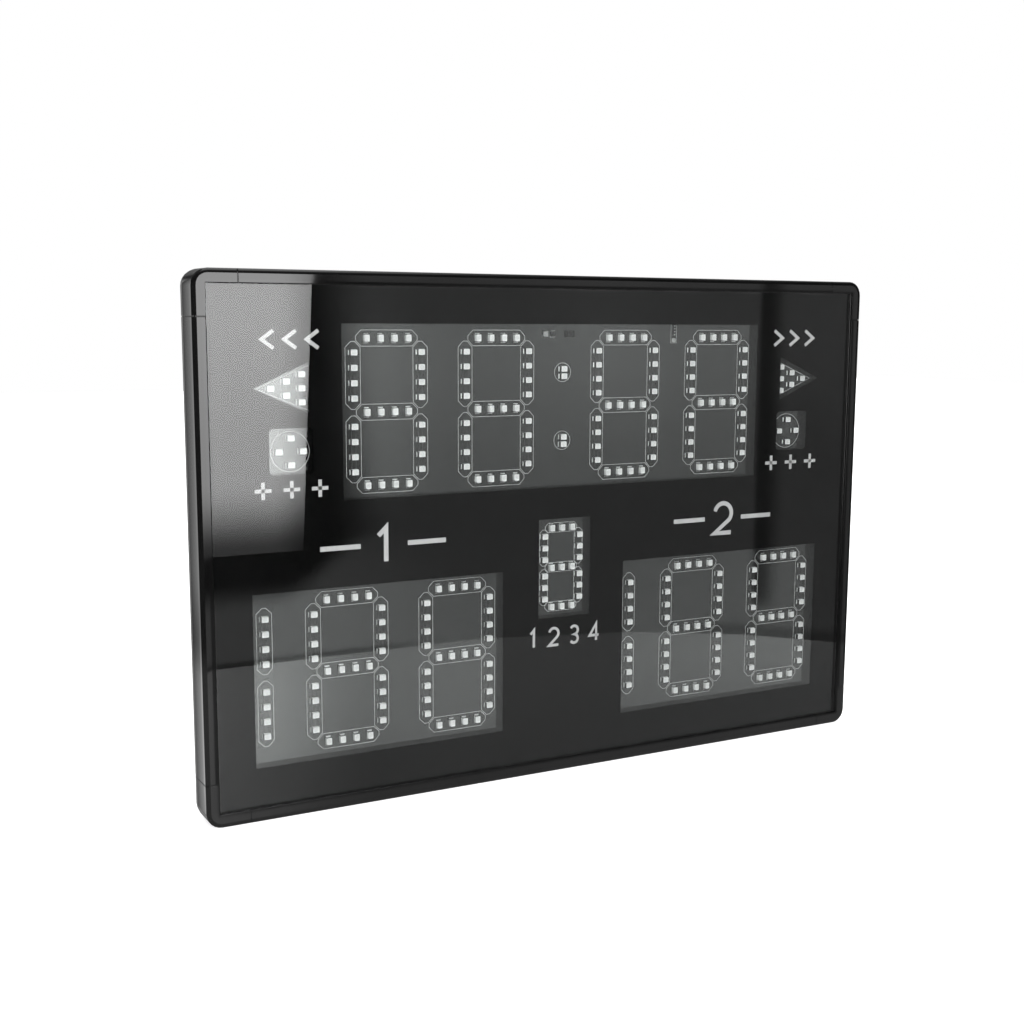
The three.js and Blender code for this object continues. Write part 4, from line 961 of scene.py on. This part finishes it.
FLOOR_REACH = 4.0
FLOOR_Z = -0.2 * MM
FLOOR_GLOW = 0.85
LAMP_PLACE = (-0.28, -0.76, 0.44)
LAMP_TARGET = (0, 0, 0.13)
LAMP_SIZE = 0.45
LAMP_POWER = 4.1


def make_lamp():
    data = bpy.data.lights.new("key", "AREA")
    data.shape = "SQUARE"
    data.size = LAMP_SIZE
    data.energy = LAMP_POWER
    light = bpy.data.objects.new("key", data)
    light.location = LAMP_PLACE
    light.rotation_euler = (Vector(LAMP_TARGET) - Vector(LAMP_PLACE)).to_track_quat("-Z", "Y").to_euler()
    light.visible_glossy = False
    bpy.context.collection.objects.link(light)


def make_stage():
    make_world()
    bpy.context.scene.view_settings.view_transform = "Standard"
    paper = Look("pale_floor")
    paper.set("Roughness", 0.9)
    paper.feed(paper.tint(paper.noise(3), 0.86, 0.9), "Base Color")
    paper.set("Emission Color", colour(1.0))
    paper.set("Emission Strength", FLOOR_GLOW)
    square = rectangle(0, 0, 2 * FLOOR_REACH, 2 * FLOOR_REACH)
    floor = stage_mesh("floor", [(x, y, FLOOR_Z) for x, y in square], [(0, 1, 2, 3)], paper.material)
    floor.visible_glossy = floor.visible_transmission = False
    light_card("softbox", softbox_place, softbox_strength, SOFTBOX_DISTANCE, 80, 75, softbox_share, 1.42)
    light_card("wall", wall_place, wall_strength, CARD_DISTANCE, 400, 240, wall_share, 1.9)
    light_card("table", table_place, table_strength, CARD_DISTANCE, 400, 120, table_share, 1.5)
    side_card()
    make_lamp()


# Sloping black bead between the frame's lip and the sheet, with its section as insets and depths. Its black
# is painted shadow: it stands in for the dark shadow line along the lip's inner edge, while its sloping face
# catches a real highlight.
LIP_INSET = 6.2
BEAD_INSET = LIP_INSET + 0.2
SHADOW_LINE_FOOT = BEAD_INSET + 0.1
BEAD_AND_SHADOW_SECTION = [
    (LIP_INSET, FACE_Y + 0.2 * MM),
    (BEAD_INSET, SHEET_Y - 0.12 * MM),
    (SHADOW_LINE_FOOT, SHEET_Y - 0.08 * MM),
    (SHADOW_LINE_FOOT, SHEET_Y - 0.01 * MM),
    (LIP_INSET, SHEET_Y - 0.01 * MM),
]


# The bead's black is painted shadow along the lip's inner edge.
def lip_gasket(rubber):
    rings = []
    for inset, y in BEAD_AND_SHADOW_SECTION:
        x, z = HALF_WIDTH - inset, HALF_HEIGHT - inset
        corners = ((-x, -z), (x, -z), (x, z), (-x, z))
        rings.append(at_depth([face_point(*corner) for corner in corners], y))
    shapes = Shapes()
    shapes.layers(rings + rings[:1], caps=(False, False))
    shapes.piece("lip_gasket", [rubber])


# Clear film behind the print, seen in its windows
FILM_INSET = 4.6
FILM_CUT = 4.0
FILM_FRONT = PRINT_REAR + 0.03 * MM
FILM_THICKNESS = 0.08 * MM


def window_film(clear):
    a, b = HALF_WIDTH - FILM_INSET, HALF_HEIGHT - FILM_INSET
    c, d = a - FILM_CUT, b - FILM_CUT
    outline = [(c, -b), (a, -d), (a, d), (c, b), (-c, b), (-a, d), (-a, -d), (-c, -b)]
    shapes = Shapes()
    shapes.slab([face_point(x, z) for x, z in outline], FILM_FRONT, FILM_FRONT + FILM_THICKNESS)
    shapes.piece("window_film", [clear])


# Mouldings, pads and marks on the rear, none of them seen in the photograph. Their places are given in
# millimetres, with heights above the table, and their outlines as middle, size and corner radius.
COVER_REAR = 10.9 * MM
SINK = 0.02 * MM
MARK_RISE = 0.18 * MM
MARK_STROKE = 0.4
COVER_RIDGES = [
    ((130, 40, 51, 28, 2), 1.0, 0.3 * MM),
    ((0, 125, 340, 216, 4), 0.8, 0.25 * MM),
    ((-120, 193.5, 15, 26, 7, 10), 0.8, 0.3 * MM),
    ((120, 193.5, 15, 26, 7, 10), 0.8, 0.3 * MM),
]
INLET_MARK = (118.0, 60.5)
INLET_ARC = (1.7 * MM, 40, 320, 20)
INLET_DOT = 0.6 * MM
INLET_LINES = [
    (0, 0, -4.6, 0), (1.7, 0, 4.6, 0), (-7.6, 0, -5.6, 0),
    (-6.6, -1, -6.6, 1), (5.6, 0, 7.6, 0), (23, -1.6, 23, 1.6),
]
ROCKER_MIDDLE_X = 141.0
ROCKER_LOW_END = (9.02, 33.97)
ROCKER_VALLEY = (9.32, 39.73)
ROCKER_HIGH_END = (11.39, 45.12)
ROCKER_MARK_RISE = 0.06
ROCKER_MARK_FOOT = -0.02
PROP_BORDER = (0, 92, 104, 134, 5)
PROP_GRIP = [(0, 23.5 + 2.2 * row, 26 - 1.2 * row, 1.0, 0.48) for row in range(6)]
PAD_RIBS = [(0, 13.4 + 1.4 * row, 78, 0.6, 0.28) for row in range(2)]
WALL_PADS = [(-165, 29), (-165, 221), (165, 29), (165, 221)]
WALL_PAD_RADIUS = 5 * MM
LABEL_FACE = (-120, 132, 58, 36, 2.5)
LABEL_BORDER = (-120, 132, 54, 32, 1.5)


def moved(outline, x, z):
    """An outline in metres, moved by millimetres."""
    return [(x * MM + px, z * MM + pz) for px, pz in outline]


def rounded(x, z, width, height, radius, steps=6):
    """A rectangle with round corners."""
    a, b = width / 2 - radius, height / 2 - radius
    points = []
    for across, upward, start in ((a, -b, -90), (a, b, 0), (-a, b, 90), (-a, -b, 180)):
        points.extend(arc(x + across, z + upward, radius, start, start + 90, steps))
    return [(px * MM, pz * MM) for px, pz in points]


def raised(shapes, outline, base, rise):
    """A low shape on a surface that faces the rear, with its outer edge eased."""
    inner = offsets(outline, 0.4 * rise, True)[0]
    rings = ((outline, base - SINK), (outline, base + 0.6 * rise), (inner, base + rise))
    shapes.layers([at_depth(ring, y) for ring, y in rings])


def ridge_line(shapes, outline, width, rise, closed=True):
    shapes.band(outline, width * MM, COVER_REAR - SINK, COVER_REAR + rise, closed=closed)


def cover_mouldings(plastic):
    """Low ridges round the power recess, round the keyholes and along the cover's edge."""
    shapes = Shapes()
    for form, width, rise in COVER_RIDGES:
        ridge_line(shapes, rounded(*form), width, rise)
    shapes.piece("cover_mouldings", [plastic])


def inlet_marks(ink):
    """Generic marks over the recess: a pin with plus and minus for the inlet, and a bar for the switch."""
    shapes = Shapes()
    x, z = INLET_MARK
    ridge_line(shapes, moved(arc(0, 0, *INLET_ARC), x, z), MARK_STROKE, MARK_RISE, closed=False)
    raised(shapes, moved(circle(0, 0, INLET_DOT, 16), x, z), COVER_REAR, MARK_RISE)
    for x0, z0, x1, z1 in INLET_LINES:
        ends = [((x + x0) * MM, (z + z0) * MM), ((x + x1) * MM, (z + z1) * MM)]
        ridge_line(shapes, ends, MARK_STROKE, MARK_RISE, closed=False)
    shapes.piece("inlet_marks", [ink])


def rocker_marks(ink):
    """A bar on the half pressed in for on and a ring on the other, set into the rocker's two faces."""
    shapes = Shapes()

    def on_face(start, end, along, across, lift):
        way = Vector((end[0] - start[0], end[1] - start[1]))
        length = way.length
        way /= length
        normal = Vector((way.y, -way.x))
        place = Vector(start) + way * (length * 0.5 + along) + normal * lift
        return ((ROCKER_MIDDLE_X + across) * MM, place.x * MM, place.y * MM)

    def mark(start, end, outer, inner):
        top, foot = ROCKER_MARK_RISE, ROCKER_MARK_FOOT
        shapes.tube([[on_face(start, end, along, across, lift) for along, across in outline]
                     for outline, lift in ((outer, foot), (outer, top), (inner, top), (inner, foot))])

    mark(ROCKER_VALLEY, ROCKER_HIGH_END, circle(0, 0, 1.25, 28), circle(0, 0, 0.85, 28))
    mark(ROCKER_LOW_END, ROCKER_VALLEY, rectangle(0, 0, 2.6, 0.44), rectangle(0, 0, 2.5, 0.04))
    shapes.piece("rocker_marks", [ink], "power_rocker")


def prop_ridges(plastic):
    """A grip above the pull and a low border on the prop's rear."""
    shapes = Shapes()
    for form in PROP_GRIP:
        raised(shapes, rounded(*form), COVER_REAR, 0.4 * MM)
    ridge_line(shapes, rounded(*PROP_BORDER), 0.9, 0.3 * MM)
    shapes.piece("prop_ridges", [plastic], "rear_prop")


def pad_ribs(rubber):
    """Ribs on the rear of the prop's rubber pad."""
    shapes = Shapes()
    for form in PAD_RIBS:
        raised(shapes, rounded(*form), COVER_REAR, 0.25 * MM)
    shapes.piece("pad_ribs", [rubber], "rear_prop")


def wall_pads(rubber):
    shapes = Shapes()
    for x, z in WALL_PADS:
        raised(shapes, moved(circle(0, 0, WALL_PAD_RADIUS), x, z), COVER_REAR, 0.5 * MM)
    shapes.piece("wall_pads", [rubber])


def bare_label(foil):
    """A bare metallised label, with a raised border."""
    shapes = Shapes()
    raised(shapes, rounded(*LABEL_FACE), COVER_REAR, 0.1 * MM)
    shapes.band(rounded(*LABEL_BORDER), 0.3 * MM, COVER_REAR + 0.08 * MM, COVER_REAR + 0.13 * MM)
    shapes.piece("bare_label", [foil])


def rear_details():
    ridges = grained_plastic("grained_ridges", 0.020, 0.030)
    rubber = bpy.data.materials["rubber_pad"]
    ink = plain_look("rear_ink", 0.42, 0.5, (0.4, 0.5), 600, 2400, 0.05)
    cover_mouldings(ridges)
    prop_ridges(bpy.data.materials["grained_prop"])
    pad_ribs(rubber)
    wall_pads(rubber)
    inlet_marks(ink)
    rocker_marks(ink)
    bare_label(plain_look("label_foil", 0.30, 0.36, (0.3, 0.42), 250, 1800, 0.05, 1.0))


# A row of small pads with a solder blob at its foot, beside the clock's last digit. Pads are given by their
# place from the link's middle and foot, their size and their rise.
LINK_MIDDLE = 66.55
LINK_FOOT = 92.1
LINK_FRAME = [(-1.7, 12), (-1.7, 0), (1.7, 0), (1.7, 12)]
LINK_PADS = [(0.35, rise, 0.9, 0.8, 0.5) for rise in (4.3, 5.8, 7.3, 8.7)] + [(0.1, 1.4, 2.4, 2.3, 0.75)]
PAD_LEVELS = ((0.5, 1.0), (0.8, 0.8), (1.0, 0.3), (1.0, -0.04))
PAD_ROUND = 0.36
LINK_BODY = (0.35, 6.6, 1.5, 6.4)
BODY_LEVELS = ((0.12, 0.4), (0.0, 0.3), (0.0, -0.02))


def soldered_link(silk, metal, resin):
    level = FACE_MIDDLE / MM + LINK_FOOT
    frame = [face_point(LINK_MIDDLE + x, LINK_FOOT + z) for x, z in LINK_FRAME]
    silk_piece("link_silk", [(frame, False)], silk)
    pads = Shapes()
    for x, z, width, height, rise in LINK_PADS:
        rings = []
        for share, lift in PAD_LEVELS:
            outline = rounded(LINK_MIDDLE + x, z + level, width * share, height * share,
                              PAD_ROUND * height * share, 5)
            rings.append(at_depth(outline, BOARD_Y - lift * rise * MM))
        pads.layers(rings)
    pads.piece("link_pads", [metal], smooth=50)
    body = Shapes()
    x, z, width, height = LINK_BODY
    body.layers([at_depth(rounded(LINK_MIDDLE + x, z + level, width - shrink, height - shrink, 0.2, 4),
                          BOARD_Y - lift * MM) for shrink, lift in BODY_LEVELS])
    body.piece("link_body", [resin])


# Dark packing in the seams between the rails and the corners, given by insets from the part's outside:
# of the rail's end, the corner's end, and the seam's outer end, middle and inner end.
SEAM_INSETS = (20.7, 20.5, 0.3, 1.5, 5.9)
SEAM_SIDE_DEPTHS = (-10.2 * MM, 5.0 * MM)
SEAM_FACE_DEPTHS = (-11.25 * MM, -10.6 * MM)


def seam_packing(rubber):
    shapes = Shapes()

    def pack(xs, zs, depths):
        (x0, x1), (z0, z1) = sorted(xs), sorted(zs)
        outline = [(x0, z0), (x1, z0), (x1, z1), (x0, z1)]
        shapes.slab([face_point(x, z) for x, z in outline], *depths)

    for sx in (-1, 1):
        for sz in (-1, 1):
            xs = [sx * (HALF_WIDTH - inset) for inset in SEAM_INSETS]
            zs = [sz * (HALF_HEIGHT - inset) for inset in SEAM_INSETS]
            if sx < 0:
                pack(xs[2:4], zs[:2], SEAM_SIDE_DEPTHS)
            pack(xs[3:], zs[:2], SEAM_FACE_DEPTHS)
            pack(xs[:2], zs[2:4], SEAM_SIDE_DEPTHS)
            pack(xs[:2], zs[3:], SEAM_FACE_DEPTHS)
    shapes.piece("seam_packing", [rubber])


# Solder caps on the two small chips at the top of the clock window, each chip given by its left and right,
# its foot and top and its front, and the dome of the receiver, given by its middle and front
SMALL_CHIPS = ((-11.55, -9.05, 220.55, 223.05, -5.75), (-7.15, -4.85, 220.2, 223.4, -5.15))
CAP_REAR = -4.55
CAP_OVER = 0.35
CAP_ONTO = 0.5
DOME_PLACE = (3.6, 221.8)
DOME_FRONT = -6.43
DOME_RISE = 0.55
DOME_RADIUS = 1.3
DOME_STEPS = 6


def small_parts(metal, lens):
    shapes = Shapes()
    for left, right, low, high, front in SMALL_CHIPS:
        middle, wide = (left + right) / 2, right - left
        for start, end in ((low - CAP_OVER, low + CAP_ONTO), (high - CAP_ONTO, high + CAP_OVER)):
            height = end - start
            levels = ((front - 0.04, wide - 0.1, height - 0.6), (front + 0.06, wide + 0.06, height - 0.4),
                      (CAP_REAR, wide + 0.2, height))
            rings = [at_depth(rounded(middle, (start + end) / 2, width, tall, 0.08, 3), y * MM)
                     for y, width, tall in levels]
            shapes.layers(rings)
    shapes.piece("chip_caps", [metal])
    dome = Shapes()
    rings = []
    for step in reversed(range(DOME_STEPS + 1)):
        turn = math.radians(90 * step / DOME_STEPS)
        radius = DOME_RADIUS * math.cos(turn)
        outline = rounded(*DOME_PLACE, 2 * radius + 0.1, 2 * radius + 0.1, radius + 0.04, 8)
        rings.append(at_depth(outline, (DOME_FRONT - DOME_RISE * math.sin(turn)) * MM))
    dome.layers(rings)
    dome.piece("receiver_dome", [lens], smooth=50)


def main():
    make_camera()
    make_stage()
    dress_part()
    white = plain_look("diode_white", 0.80, 0.86, (0.3, 0.42), 900, 3000, 0.05)
    lens = plain_look("diode_lens", 0.74, 0.80, (0.12, 0.2), 900, 3000, 0.02)
    # The leads' dark tone is painted shade: it stands in for the shadow gap under each diode's body, and is
    # far darker than bare tinned metal.
    lead = plain_look("lead_with_painted_shade", 0.16, 0.22, (0.08, 0.16), 900, 3000, 0.05, 1.0)
    solder = plain_look("solder", 0.80, 0.88, (0.35, 0.5), 700, 1800, 0.3, 1.0)
    for name in LARGE_DIGITS + OTHER_GROUPS:
        led_group(name, [white, lens, lead, solder])
    silk = plain_look("silk_print", 0.6, 0.68, (0.5, 0.6), 1500, 3000, 0.1)
    printed_outlines(silk)
    mask = plain_look("masked_copper", 0.05, 0.06, (0.1, 0.2), 300, 1500, 0.05)
    tracks(mask)
    printed_marks(plain_look("pale_ink", 0.46, 0.52, (0.35, 0.45), 300, 1500, 0.05))
    window_film(bpy.data.materials["clear_acrylic"])
    # A black bead along the lip's inner edge, painted shadow line; the same black rubber packs the seams.
    lip_gasket(plain_look("black_packing_and_painted_shadow", 0.003, 0.005, (0.12, 0.2), 300, 2000, 0.05))
    rear_details()
    seam_packing(bpy.data.materials["black_packing_and_painted_shadow"])
    soldered_link(silk, solder, bpy.data.materials["chip_resin"])
    small_parts(solder, plain_look("dark_lens", 0.010, 0.014, (0.05, 0.12), 300, 2000, 0.03))


main()
